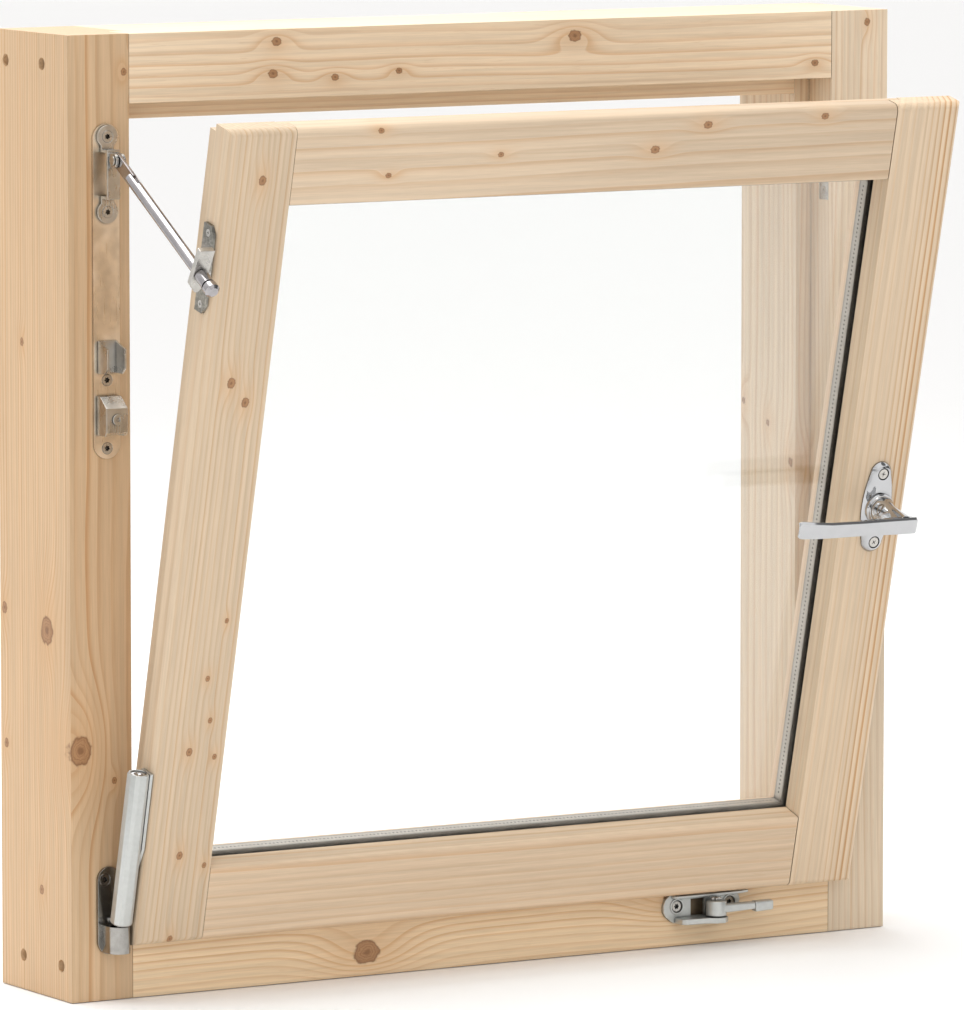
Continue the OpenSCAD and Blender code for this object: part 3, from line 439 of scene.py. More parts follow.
def pine_material(node, board):
    """Planed pine for one board, with the grain along its length."""
    wood = bpy.context.scene.window_timber
    material, net, shader = new_material("pine_" + node)
    is_sash = node.startswith(("sash", "glazing"))
    lying = math.radians(-90) if board["run"] == "x" else 0.0
    lay = Euler((0.0, lying, 0.0)).to_matrix()
    turn = Euler((-OPEN if is_sash else 0.0, lying, 0.0))
    shift = lay @ AXIS - turn.to_matrix() @ AXIS if is_sash else Vector((0, 0, 0))
    place = net.node("ShaderNodeTexCoord").outputs["Object"]
    along = net.node("ShaderNodeMapping", {
        "Vector": place, "Rotation": turn, "Location": shift}).outputs[0]
    swirl, heart, core, rim, halo = (net.plus(0.0, 0.0) for _ in range(5))
    for x, z, y, radius in board["knots"]:
        centre = lay @ Vector((x, y, z))
        on_side = x in (-SIDE, OPENING)
        across, deep = (KNOT_DEPTH, radius) if on_side else (radius, KNOT_DEPTH)
        size = (across, deep, radius * 1.25)
        knot = placed(net, "knot", {"Vector": along, "Centre": centre, "Size": size})
        swirl = net.math("MULTIPLY_ADD", knot["Swirl"], radius * 1.6, swirl)
        heart = net.most(heart, knot["Heart"])
        core = net.most(core, knot["Core"])
        rim = net.most(rim, knot["Rim"])
        halo = net.most(halo, knot["Halo"])
    rings = placed(net, "rings", {
        "Vector": along, "Pith": board["pith"], "Ring Width": board["ring"], "Wave": board["wave"],
        "Swirl": swirl, "Seed": board["seed"]})
    fibre = placed(net, "fibre", {"Vector": along, "Seed": board["seed"]})
    late = net.times(rings["Late"], 0.80 * board["warm"])
    if "bold" in board:
        across = net.node("ShaderNodeSeparateXYZ", {0: along}).outputs["X"]
        late = net.times(late, net.span(across, board["bold"][0], board["bold"][1], 0.4, 2.3))
    early, dense = ([c * tone for c, tone in zip(shade, board["tone"])] + [1]
                    for shade in (wood.early, wood.late))
    colour = net.mix(late, early, dense)
    stain = net.span(rings["Stain"], 0.3, 0.7, 0.91, 1.06)
    streak = net.span(fibre["Streak"], 0.3, 0.7, 0.90, 1.08)
    ring_tone = net.span(rings["Ring Tone"], 0.0, 1.0, 0.97, 1.03)
    colour = net.tone(colour, net.times(net.times(stain, streak), ring_tone))
    colour = net.mix(net.times(fibre["Fleck"], 0.16), colour, OPEN_PORE)
    colour = net.mix(net.times(halo, 0.42), colour, WARM_WOOD)
    dark = list(wood.knot) + [1]
    knot_colour = net.mix(net.times(core, 0.85), PALE_HEART, dark)
    knot_colour = net.mix(net.span(fibre["Streak"], 0.45, 0.7, 0.0, 0.5), knot_colour, dark)
    colour = net.mix(net.times(heart, 0.93), colour, knot_colour)
    colour = net.mix(net.times(rim, 0.75), colour, dark)
    # painted shade: the wood darkens where other surfaces stand close, in corners, rebates and
    # joints
    colour = net.tone(colour, net.span(net.open_air(0.004), 0.15, 0.75, 0.45, 1.0))
    net.put(shader.inputs["Base Color"], colour)
    rough = net.span(rings["Late"], 0.0, 1.0, wood.roughness, wood.roughness - 0.12, smooth=False)
    rough = net.minus(rough, net.times(heart, 0.1))
    net.put(shader.inputs["Roughness"], rough)
    height = net.plus(net.times(fibre["Streak"], 0.5), net.times(rings["Late"], 0.6))
    height = net.minus(height, net.times(fibre["Fleck"], 0.6))
    height = net.plus(height, net.times(rim, -0.8))
    net.put(shader.inputs["Normal"], net.bump(height, 0.22, 0.0004))
    shader.inputs["Specular IOR Level"].default_value = 0.38
    return material


# ---------- metals, rubber, glass ----------
def metal_material(name, colour, rough, spread, mottle=160.0, contrast=0.12, metallic=1.0,
                   bump=0.05, crevice_shade=0.25, crevice=(0.3, 0.92)):
    """A plated metal: its tone and roughness vary over the surface."""
    material, net, shader = new_material(name)
    place = net.node("ShaderNodeTexCoord").outputs["Object"]
    plating = placed(net, "plating", {"Vector": place, "Mottle": mottle})
    tone = net.span(plating["Tone"], 0.3, 0.7, 1 - contrast, 1 + contrast)
    # painted shade: the colour darkens where pieces meet and shade falls in the crevices
    tone = net.times(tone, net.span(net.open_air(0.003), *crevice, crevice_shade, 1.0))
    net.put(shader.inputs["Base Color"], net.tone(list(colour), tone))
    varied = net.math("MULTIPLY_ADD", plating["Dull"], spread, rough)
    varied = net.math("MULTIPLY_ADD", net.minus(plating["Lines"], 0.5), spread, varied)
    net.put(shader.inputs["Roughness"], varied)
    height = net.plus(plating["Lines"], net.times(plating["Tone"], 0.6))
    net.put(shader.inputs["Normal"], net.bump(height, bump, 0.0003))
    shader.inputs["Metallic"].default_value = metallic
    return material


METALS = {
    # finish: material name, colour or the setting that holds it, roughness, its spread, the rest
    "zinc": ("zinc_plated_steel", "zinc", 0.26, 0.16, {"contrast": 0.14}),
    "strip": ("zinc_strip_steel", (0.80, 0.70, 0.57), 0.30, 0.2,
              {"contrast": 0.16, "mottle": 90.0}),
    "bright": ("bright_zinc_rod", (0.40, 0.385, 0.395), 0.16, 0.1, {"contrast": 0.1}),
    "satin": ("satin_silver_coat", "satin", 0.36, 0.1,
              {"contrast": 0.05, "metallic": 0.75, "bump": 0.03, "mottle": 300.0}),
    "chrome": ("polished_chrome", "chrome", 0.05, 0.05, {"contrast": 0.03, "bump": 0.01}),
    "dark": ("dark_gloss_plate", "dark", 0.16, 0.14, {"contrast": 0.2}),
    "dull": ("dull_zinc_plate", (0.27, 0.26, 0.23), 0.30, 0.2, {"contrast": 0.4, "mottle": 420.0}),
    # screw heads: much deeper painted shade in their recesses and round their rims
    "screw": ("zinc_screw_head", "zinc", 0.24, 0.14, {"crevice_shade": 0.04, "crevice": (0.55, 0.97)}),
    # painted shade: a near-black brown that stands for the shade in deep screw holes and in the
    # keeper's pocket
    "shade": ("deep_set_screw_steel", (0.16, 0.12, 0.08), 0.4, 0.1, {"contrast": 0.2}),
    "alloy": ("spacer_alloy", "alloy", 0.42, 0.12, {"contrast": 0.08}),
}


def metal(finish):
    """The one material of a metal finish, shared by all its pieces."""
    name, colour, rough, spread, rest = METALS[finish]
    if isinstance(colour, str):
        scene = bpy.context.scene
        colour = getattr(scene.window_glazing if colour == "alloy" else scene.window_metal, colour)
    return shared(finish, lambda: metal_material(name, colour, rough, spread, **rest))


def dull_material(name, colour, low, high, rough, mottle):
    """A material without gloss whose tone varies from low to high; gives its net parts too."""
    material, net, shader = new_material(name)
    place = net.node("ShaderNodeTexCoord").outputs["Object"]
    plating = placed(net, "plating", {"Vector": place, "Mottle": mottle})
    net.put(shader.inputs["Base Color"], net.tone(
        list(colour), net.span(plating["Tone"], 0.3, 0.7, low, high)))
    net.put(shader.inputs["Roughness"], net.span(plating["Dull"], 0.0, 1.0, *rough))
    return material, net, shader, plating


def rubber():
    def build():
        material, net, shader, plating = dull_material(
            "black_rubber", bpy.context.scene.window_glazing.rubber, 0.7, 1.4, (0.5, 0.68), 600.0)
        net.put(shader.inputs["Normal"], net.bump(plating["Tone"], 0.2, 0.0002))
        return material
    return shared("rubber", build)


# painted shade: the dark colour of the vent discs stands for the shade inside the holes
def vent_painted_shade():
    return shared("vent", lambda: dull_material(
        "vent_hole_dark", (0.07, 0.06, 0.055), 0.7, 1.3, (0.6, 0.8), 160.0)[0])


def pane_glass():
    def build():
        material, net, shader = new_material("clear_pane")
        shader.inputs["Base Color"].default_value = (0.985, 0.992, 0.988, 1)
        shader.inputs["Roughness"].default_value = 0.0
        shader.inputs["IOR"].default_value = 1.45
        shader.inputs["Transmission Weight"].default_value = 1.0
        clear = net.node("ShaderNodeBsdfTransparent", {"Color": (0.96, 0.97, 0.965, 1)})
        path = net.node("ShaderNodeLightPath")
        blend = net.node("ShaderNodeMixShader")
        net.put(blend.inputs[0], path.outputs["Is Shadow Ray"])
        net.put(blend.inputs[1], shader.outputs[0])
        net.put(blend.inputs[2], clear.outputs[0])
        output = next(n for n in net.tree.nodes if n.type == "OUTPUT_MATERIAL")
        net.put(output.inputs["Surface"], blend.outputs[0])
        return material
    return shared("pane", build)


def body_of(node):
    return NODES[node]["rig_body"]


def in_scene(name, mesh, material):
    piece = bpy.data.objects.new(name, mesh)
    bpy.context.scene.collection.objects.link(piece)
    mesh.materials.clear()
    mesh.materials.append(material)
    return piece


def smooth_by_angle(mesh, degrees):
    for polygon in mesh.polygons:
        polygon.use_smooth = True
    mesh.set_sharp_from_angle(angle=math.radians(degrees))


def finish_piece(piece, *nodes):
    """Puts a finished piece in the place of the CAD nodes it stands for."""
    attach(piece, body_of(nodes[0]))
    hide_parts(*nodes)
    return piece


# a hairline is left where each rail meets its stiles, at this distance from the middle
JOINT_GAP = 0.00035
SASH_OPENING = 0.2496
JOINT_ENDS = {"frame_top_rail": OPENING, "frame_bottom_rail": OPENING,
              "sash_top_rail": SASH_OPENING, "sash_bottom_rail": SASH_OPENING}


def merged(node):
    """A clean copy of a node's mesh: doubles merged and flat faces joined."""
    mesh = NODES[node].data.copy()
    if "custom_normal" in mesh.attributes:
        mesh.attributes.remove(mesh.attributes["custom_normal"])
    shape = bmesh.new()
    shape.from_mesh(mesh)
    bmesh.ops.remove_doubles(shape, verts=shape.verts, dist=0.00001)
    bmesh.ops.dissolve_limit(shape, angle_limit=math.radians(0.5), verts=shape.verts,
                             edges=shape.edges)
    end = JOINT_ENDS.get(node)
    for v in shape.verts if end else ():
        if abs(abs(v.co.x) - end) < 0.0001:
            v.co.x -= math.copysign(JOINT_GAP, v.co.x)
    shape.to_mesh(mesh)
    shape.free()
    return mesh


def finished(node, material, width, segments=2, degrees=35):
    """The node's own shape with eased edges, in its place."""
    piece = in_scene(node + "_finish", merged(node), material)
    round_edges(piece, width, segments, degrees)
    return finish_piece(piece, node)


def loft(name, rings, material):
    """A closed skin through rings of equal point count, with flat ends."""
    count = len(rings[0])
    points = [p for ring in rings for p in ring]
    faces = []
    for r in range(len(rings) - 1):
        for i in range(count):
            j = (i + 1) % count
            faces.append((r * count + i, r * count + j, (r + 1) * count + j, (r + 1) * count + i))
    faces.append(tuple(range(count - 1, -1, -1)))
    faces.append(tuple(range((len(rings) - 1) * count, len(rings) * count)))
    mesh = bpy.data.meshes.new(name)
    mesh.from_pydata(points, [], faces)
    shape = bmesh.new()
    shape.from_mesh(mesh)
    bmesh.ops.recalc_face_normals(shape, faces=shape.faces)
    shape.to_mesh(mesh)
    shape.free()
    return in_scene(name, mesh, material)


def round_edges(piece, width, segments=3, degrees=28):
    """Rounds every edge sharper than an angle."""
    smooth_by_angle(piece.data, degrees)
    eased = piece.modifiers.new("Round edges", "BEVEL")
    eased.width = width
    eased.segments = segments
    eased.limit_method = "ANGLE"
    eased.angle_limit = math.radians(degrees)
    eased.harden_normals = True


def settle(piece):
    """Keeps what the piece's modifiers make as its plain mesh."""
    graph = bpy.context.evaluated_depsgraph_get()
    mesh = bpy.data.meshes.new_from_object(piece.evaluated_get(graph))
    piece.modifiers.clear()
    piece.data = mesh
    return piece


def cut(piece, cutter):
    """Takes the cutter's shape out of the piece."""
    carve = piece.modifiers.new("Cut", "BOOLEAN")
    carve.operation = "DIFFERENCE"
    carve.solver = "EXACT"
    carve.object = cutter
    settle(piece)
    bpy.data.objects.remove(cutter)
    return piece


def joined(name, pieces):
    """One piece made of several closed shells."""
    shape = bmesh.new()
    for piece in pieces:
        shape.from_mesh(settle(piece).data)
    mesh = bpy.data.meshes.new(name)
    shape.to_mesh(mesh)
    shape.free()
    material = pieces[0].data.materials[0]
    for piece in pieces:
        bpy.data.objects.remove(piece)
    return in_scene(name, mesh, material)


def circle(count, radius, squeeze=1.0):
    turns = [2 * math.pi * i / count for i in range(count)]
    return [(radius * math.cos(turn), radius * squeeze * math.sin(turn)) for turn in turns]


def screw_template(head, height, shank, length, drive):
    """One countersunk screw, head up at the origin, with a star or a cross recess."""
    count = 36

    def star(i):
        angle = 2 * math.pi * i / count
        if drive == "star":
            return head * (0.40 + 0.075 * math.cos(6 * angle))
        return head * (0.14 + 0.30 * max(0.0, math.cos(4 * angle)) ** 1.6)

    rings = [[(head, -height * 0.12)] * count, [(head * 0.93, 0.0)] * count,
             [(star(i) * 1.08, -height * 0.03) for i in range(count)],
             [(star(i), -height * 0.10) for i in range(count)],
             [(star(i) * 0.86, -height * 0.62) for i in range(count)],
             [(star(i) * 0.2, -height * 0.70) for i in range(count)]]
    under = [[(shank * 0.2, -length)] * count, [(shank, -length + shank)] * count,
             [(shank, -height)] * count]
    mesh = bpy.data.meshes.new("screw_template")
    points = []
    for ring in under + rings:
        for i, (radius, z) in enumerate(ring):
            angle = 2 * math.pi * i / count
            points.append((radius * math.cos(angle), radius * math.sin(angle), z))
    faces = []
    for r in range(len(under) + len(rings) - 1):
        for i in range(count):
            j = (i + 1) % count
            faces.append((r * count + i, r * count + j, (r + 1) * count + j, (r + 1) * count + i))
    faces.append(tuple(range(count - 1, -1, -1)))
    faces.append(tuple(range(len(points) - count, len(points))))
    mesh.from_pydata(points, [], faces)
    smooth_by_angle(mesh, 30)
    template = bpy.data.objects.new("screw_template", mesh)
    bpy.context.scene.collection.objects.link(template)
    return template


def facing_rotation(net):
    """Turns a shape's Z axis to the way that each point faces."""
    facing = net.node("GeometryNodeInputNamedAttribute", {"Name": "facing"},
                      data_type="FLOAT_VECTOR").outputs[0]
    return net.node("FunctionNodeAlignRotationToVector", {"Vector": facing}, axis="Z").outputs[0]


def set_out(net, points, shape, turn, material):
    """The shape on every point, made real and given its material."""
    made = net.node("GeometryNodeInstanceOnPoints", {
        "Points": points, "Instance": shape, "Rotation": turn}).outputs[0]
    real = net.node("GeometryNodeRealizeInstances", {0: made}).outputs[0]
    return net.node("GeometryNodeSetMaterial", {
        "Geometry": real, "Material": material}).outputs[0]


def facing_mesh(name, points, edges, ways):
    """Points and lines for a geometry node tree, each point with the way it faces."""
    mesh = bpy.data.meshes.new(name)
    mesh.from_pydata(points, edges, [])
    mesh.attributes.new("facing", "FLOAT_VECTOR", "POINT").data.foreach_set(
        "vector", [c for way in ways for c in way])
    piece = bpy.data.objects.new(name, mesh)
    bpy.context.scene.collection.objects.link(piece)
    return piece


def screw_tree():
    """Screws on the given points, each along its own axis and turned at random."""
    net, given, out = group_tree("Screws", "GeometryNodeTree", [
        ("Geometry", GEOMETRY, None), ("Screw", "NodeSocketObject", None),
        ("Seed", "NodeSocketInt", 1), ("Turn", FLOAT, 3.0),
        ("Material", "NodeSocketMaterial", None),
    ], [("Geometry", GEOMETRY)])
    shape = net.node("GeometryNodeObjectInfo", {0: given["Screw"]}).outputs["Geometry"]
    stand = facing_rotation(net)
    chance = net.node("FunctionNodeRandomValue", {"Max": given["Turn"], "Seed": given["Seed"]},
                      data_type="FLOAT")
    spin = net.node("FunctionNodeAxisAngleToRotation", {
        "Axis": (0, 0, 1), "Angle": next(o for o in chance.outputs if o.enabled)})
    turn = net.node("FunctionNodeRotateRotation", {
        0: stand, 1: spin.outputs[0]}, rotation_space="LOCAL").outputs[0]
    net.put(out["Geometry"], set_out(net, given["Geometry"], shape, turn, given["Material"]))
    return net.tree


def screw_places(node, axis):
    """Where each screw of a node has its head: the middle of its outermost points."""
    shape = bmesh.new()
    shape.from_mesh(merged(node))
    seen = set()
    places = []
    for first in shape.verts:
        if first in seen:
            continue
        seen.add(first)
        screw = [first]
        for v in screw:  # grows while it is read
            for e in v.link_edges:
                other = e.other_vert(v)
                if other not in seen:
                    seen.add(other)
                    screw.append(other)
        points = [v.co for v in screw]
        towards = axis(sum(points, Vector()) / len(points))
        far = max(point.dot(towards) for point in points)
        rim = [point for point in points if far - point.dot(towards) < 0.00005]
        places.append((sum(rim, Vector()) / len(rim), towards))
    shape.free()
    return places


SASH_OUT = Matrix.Rotation(OPEN, 3, "X") @ Vector((0, -1, 0))


def outwards(p):
    return Vector((math.copysign(1, p.x), 0, 0))


def to_room(p):
    return Vector((0, -1, 0))


def to_left(p):
    return Vector((-1, 0, 0))


# head radius, head height, shank radius, length and recess of the two common sizes
LARGE_SCREW = (0.0043, 0.0026, 0.002, 0.028, "star")
SMALL_SCREW = (0.003, 0.0018, 0.0015, 0.014, "cross")
SCREWS = {
    # node: the way its head faces at a place, its sizes and recess, its finish
    # the corner screws sit deep in the frame; their dark finish is painted shade
    "frame_corner_screws": (outwards, (0.0045, 0.003, 0.0025, 0.084, "star"), "shade"),
    "strip_screws": (to_room, LARGE_SCREW, "screw"),
    "hinge_plate_screw": (to_room, LARGE_SCREW, "dark"),
    "keeper_screws": (to_room, LARGE_SCREW, "screw"),
    "guide_plate_screws": (to_left, SMALL_SCREW, "screw"),
    "hinge_leaf_screws": (to_left, (0.0025, 0.001, 0.0015, 0.016, "cross"), "screw"),
    "handle_screws": (lambda p: SASH_OUT, (0.004, 0.0025, 0.002, 0.026, "cross"), "screw"),
    "strike_screws": (to_left, SMALL_SCREW, "screw"),
    "lock_faceplate_screws": (lambda p: Vector((1, 0, 0)), SMALL_SCREW, "screw"),
}


# ---------- operators ----------
class WINDOW_OT_timber(bpy.types.Operator):
    """Planes the frame, the sash and the glazing beads in pine"""

    bl_idname = "window.timber"
    bl_label = "Timber"

    def execute(self, context):
        for node, board in BOARDS.items():
            finished(node, pine_material(node, board), context.scene.window_timber.arris)
        return {"FINISHED"}


class WINDOW_OT_glazing(bpy.types.Operator):
    """Finishes the panes, the spacer, its vent holes and the rubber"""

    bl_idname = "window.glazing"
    bl_label = "Glazing"

    def execute(self, context):
        for node, material in (
                ("glass_pane_room", pane_glass()), ("glass_pane_weather", pane_glass()),
                ("glass_edge_seal", rubber()), ("glazing_gasket", rubber()),
                ("glass_spacer", metal("alloy"))):
            NODES[node].data.materials.clear()
            NODES[node].data.materials.append(material)
        self.vent_holes(context.scene.window_glazing)
        return {"FINISHED"}

    def vent_holes(self, sizes):
        low, high = closed_box("glass_spacer")
        width = 0.008
        proud = 0.00005
        middle = (low.y + high.y) / 2
        x0, x1 = low.x + width + proud, high.x - width - proud
        z0, z1 = low.z + width + proud, high.z - width - proud
        inset = 0.006
        runs = [((x0, z0 + inset), (x0, z1 - inset), (1, 0)),
                ((x1, z0 + inset), (x1, z1 - inset), (-1, 0)),
                ((x0 + inset, z0), (x1 - inset, z0), (0, 1)),
                ((x0 + inset, z1), (x1 - inset, z1), (0, -1))]
        points = []
        facing = []
        for start, end, way in runs:
            normal = Matrix.Rotation(OPEN, 3, "X") @ Vector((way[0], 0, way[1]))
            for x, z in (start, end):
                points.append(on_sash(x, middle, z))
                facing.append(normal)
        edges = [(i, i + 1) for i in range(0, len(points), 2)]
        piece = facing_mesh("spacer_vent_holes", points, edges, facing)
        grown(piece, vent_tree(), {
            "Pitch": sizes.pitch, "Radius": sizes.hole, "Material": vent_painted_shade()})
        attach(piece, "sash")


def vent_tree():
    """Flat dark discs at an even pitch along the given lines: vent holes with painted shade."""
    net, given, out = group_tree("Vent holes", "GeometryNodeTree", [
        ("Geometry", GEOMETRY, None), ("Pitch", FLOAT, 0.003), ("Radius", FLOAT, 0.0007),
        ("Material", "NodeSocketMaterial", None),
    ], [("Geometry", GEOMETRY)])
    line = net.node("GeometryNodeMeshToCurve", {0: given["Geometry"]}).outputs[0]
    spaced = net.node("GeometryNodeResampleCurve", {"Curve": line, "Length": given["Pitch"]},
                      mode="LENGTH")
    hole = net.node("GeometryNodeMeshCircle", {"Vertices": 8, "Radius": given["Radius"]},
                    fill_type="NGON").outputs[0]
    net.put(out["Geometry"], set_out(
        net, spaced.outputs[0], hole, facing_rotation(net), given["Material"]))
    return net.tree


def grown(piece, tree, values):
    """Runs a geometry node tree on a piece and keeps the plain mesh that comes out."""
    modifier = piece.modifiers.new("Build", "NODES")
    modifier.node_group = tree
    for socket in tree.interface.items_tree:
        if socket.in_out == "INPUT" and socket.name in values:
            modifier[socket.identifier] = values[socket.name]
    settle(piece)


PLAIN_METAL = {
    "strip": ["stay_strip"],
    "zinc": ["stay_bracket", "stay_pivot_pin", "stay_fork", "lower_keep", "keep_adjuster",
             "strike_plates", "bead_pins", "lock_faceplate", "lock_case", "lock_pinion",
             "handle_spindle", "drive_rod", "roller_cams", "guide_block", "guide_pin",
             "hinge_ball_pin"],
    "bright": ["stay_rod", "stay_blade", "stay_end_stop"],
    "satin": ["hinge_leaf"],
    "dull": ["guide_plate"],
    "chrome": ["hinge_cap"],
    "dark": ["hinge_plate"],
}


class WINDOW_OT_hardware(bpy.types.Operator):
    """Plates the stay, the hinge, the keeper and the lock"""

    bl_idname = "window.hardware"
    bl_label = "Hardware"

    def execute(self, context):
        edge = context.scene.window_metal.edge
        for finish, nodes in PLAIN_METAL.items():
            for node in nodes:
                finished(node, metal(finish), edge)
        return {"FINISHED"}


class WINDOW_OT_screws(bpy.types.Operator):
    """Puts a recessed screw in the place of each plain one"""

    bl_idname = "window.screws"
    bl_label = "Screws"

    def execute(self, context):
        tree = screw_tree()
        for seed, (node, (axis, sizes, finish)) in enumerate(SCREWS.items()):
            places = screw_places(node, axis)
            piece = facing_mesh(node + "_finish", [place for place, _ in places], [],
                                [way for _, way in places])
            template = screw_template(*sizes)
            grown(piece, tree, {
                "Screw": template, "Seed": seed + 1, "Material": metal(finish)})
            bpy.data.objects.remove(template)
            finish_piece(piece, node)
        return {"FINISHED"}


def on_frame(x, f, z):
    """A point of the frame from x, the distance before its room face, and height."""
    return Vector((x, ROOM - f, z))


def slab(name, outline, low, high, place, material):
    """A flat shape given by its outline, between two levels."""
    rings = [[place(a, b, level) for a, b in outline] for level in (low, high)]
    return loft(name, rings, material)


class WINDOW_OT_keeper(bpy.types.Operator):
    """Builds the keeper: pressed plate with flanges and rings, drum, star nut and lever"""

    bl_idname = "window.keeper"
    bl_label = "Keeper"

    def execute(self, context):
        low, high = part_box("keeper_plate")
        pin_low, pin_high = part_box("keeper_pin")
        screw_low, screw_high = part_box("keeper_screws")
        drum = Vector(((pin_low.x + pin_high.x) / 2, ROOM - (pin_low.y + pin_high.y) / 2))
        head = LARGE_SCREW[0]
        screws = [(screw_low.x + head, (screw_low.z + screw_high.z) / 2),
                  (screw_high.x - head, (screw_low.z + screw_high.z) / 2)]
        self.plate(low, high, drum, screws)
        self.lever(low, drum)
        self.pin(pin_low, pin_high, drum)
        return {"FINISHED"}

    def plate(self, low, high, drum, screws):
        x0, z0, z1 = low.x, low.z, high.z
        right = screws[1][0]

        def upright(x, z, f):
            return on_frame(x, f, z)

        def level(x, f, z):
            return on_frame(x, f, z)

        thick = 0.0030
        outline = ((x0, z1 - 0.0075), (x0, z0 + 0.0085), (x0 + 0.0022, z0 + 0.0050),
                   (x0 + 0.0075, z0 + 0.0008), (x0 + 0.0100, z0), (right - 0.0080, z0),
                   (right - 0.0045, z0 + 0.0030), (right - 0.0020, z0 + 0.0075),
                   (right + 0.0050, z0 + 0.0082), (right + 0.0082, z0 + 0.0105),
                   (right + 0.0090, z0 + 0.0140),
                   (right + 0.0078, z0 + 0.0172), (right + 0.0050, z1), (x0 + 0.0055, z1),
                   (x0 + 0.0018, z1 - 0.0030))
        plate = slab("plate", outline, 0.0, thick, upright, metal("satin"))

        def pocket(play):
            left, far = drum.x - 0.0165 + play, drum.x - 0.0045 - play
            base, top = z0 + 0.0046 + play, z1 - 0.0036 - play
            return (left, base), (far, base), (far, top), (left, top)

        cut(plate, slab("pocket", pocket(0.0), 0.0006, 0.01, upright, metal("satin")))
        rings = []
        for x, z in screws:
            ring = slab("ring", [(x + a, z + b) for a, b in circle(36, 0.0060)], thick - 0.0005,
                        thick + 0.0007, upright, metal("satin"))
            for piece in (plate, ring):
                cut(piece, slab("well", [(x + a, z + b) for a, b in circle(36, 0.0047)], 0.0004,
                                0.01, upright, metal("satin")))
            round_edges(ring, 0.0003)
            rings.append(ring)
        round_edges(plate, 0.0005)
        sill = [(x0 + 0.0095, 0.001), (x0 + 0.0100, 0.0130), (x0 + 0.0125, 0.0152),
                (drum.x - 0.0090, 0.0175), (drum.x - 0.0040, drum.y + 0.0082),
                (drum.x + 0.0030, drum.y + 0.0087), (drum.x + 0.0078, drum.y + 0.0045),
                (drum.x + 0.0100, drum.y - 0.0030), (drum.x + 0.0105, 0.001)]
        bottom = slab("sill", sill, z0, z0 + 0.0042, level, metal("satin"))
        round_edges(bottom, 0.0007)
        brow = [(x0 + 0.0065, 0.001), (x0 + 0.0065, 0.0070), (x0 + 0.0085, 0.0090),
                (high.x - 0.0100, 0.0090), (high.x - 0.0005, 0.0055), (high.x - 0.0005, 0.001)]
        top = slab("brow", brow, z1 - 0.0019, z1, level, metal("satin"))
        round_edges(top, 0.0004)
        finish_piece(joined("keeper_plate_finish", [plate, bottom, top] + rings), "keeper_plate")
        # painted shade: a thin dark slab lies on the pocket's floor in place of the shade there
        shadow = slab("keeper_pocket_floor", pocket(0.0001), 0.0003, 0.0008, upright,
                      metal("shade"))
        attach(shadow, "frame")

    def lever(self, low, drum):
        z0 = low.z

        def level(x, f, z):
            return on_frame(drum.x + x, drum.y + f, z)

        radius = 0.0078
        drum_rings = [[level(x, f, z0 + height) for x, f in circle(48, radius * share)]
                      for height, share in ((0.0048, 0.94), (0.0055, 1.0), (0.0150, 1.0),
                                            (0.0160, 0.95), (0.0166, 0.80))]
        barrel = loft("barrel", drum_rings, metal("satin"))

        def bar(name, stations):
            """A chamfered bar; each station is x, front, back, bottom and top."""
            return loft(name, [[level(x, f, z0 + height) for f, height in (
                (front, bottom), (front, top - 0.0010), (front - 0.0012, top), (back, top),
                (back, bottom))] for x, front, back, bottom, top in stations], metal("satin"))

        arm = bar("arm", ((0.0030, 0.0070, 0.0010, 0.0075, 0.0138),
                          (0.0300, 0.0070, 0.0018, 0.0083, 0.0136),
                          (0.0312, 0.0070, 0.0018, 0.0083, 0.0136)))
        grip = bar("grip", ((0.0300, 0.0079, 0.0014, 0.0062, 0.0140),
                            (0.0445, 0.0079, 0.0014, 0.0068, 0.0142),
                            (0.0458, 0.0072, 0.0020, 0.0076, 0.0138)))
        for piece, width in ((barrel, 0.0003), (arm, 0.0005), (grip, 0.0007)):
            round_edges(piece, width)
        finish_piece(joined("keeper_lever_finish", [barrel, arm, grip]), "keeper_lever")

    def pin(self, low, high, drum):
        def level(x, f, z):
            return on_frame(drum.x + x, drum.y + f, z)

        count = 48
        lobes = [(1 + 0.16 * math.cos(6 * 2 * math.pi * i / count)) for i in range(count)]

        def star(radius):
            return [(x * lobe, f * lobe) for (x, f), lobe in zip(circle(count, radius), lobes)]

        bore = (high.x - low.x) / 2
        nut = loft("nut", [[level(x, f, z) for x, f in star(radius)] for radius, z in (
            (bore, high.z - 0.0042), (bore, high.z - 0.0026), (bore * 0.85, high.z - 0.0020),
            (bore * 0.45, high.z - 0.0020), (bore * 0.40, high.z - 0.0032))], metal("zinc"))
        stem = loft("stem", [[level(x, f, z) for x, f in circle(32, radius)] for radius, z in (
            (bore * 0.8, low.z), (bore, low.z + 0.0004), (bore, low.z + 0.0008),
            (bore * 0.7, low.z + 0.0008), (bore * 0.7, high.z - 0.0045))], metal("zinc"))
        round_edges(stem, 0.0002)
        round_edges(nut, 0.0002)
        finish_piece(joined("keeper_pin_finish", [nut, stem]), "keeper_pin")


def rosette_outline(inset):
    """Leaf-shaped plate outline: round lobes round the screws, wider at the spindle."""
    lobe, waist, reach, steps = 0.0090, 0.0128, 0.0260, 12
    points = []
    for side in (1, -1):
        for i in range(steps):
            angle = math.pi * i / steps
            points.append((side * (lobe - inset) * math.cos(angle),
                           side * (reach + (lobe - inset) * math.sin(angle))))
        for i in range(steps):
            w = side * reach * (1 - 2 * i / steps)
            swell = (waist - lobe) * (1 - (w / reach) ** 2)
            points.append((-side * (lobe + swell - inset), w))
    return points


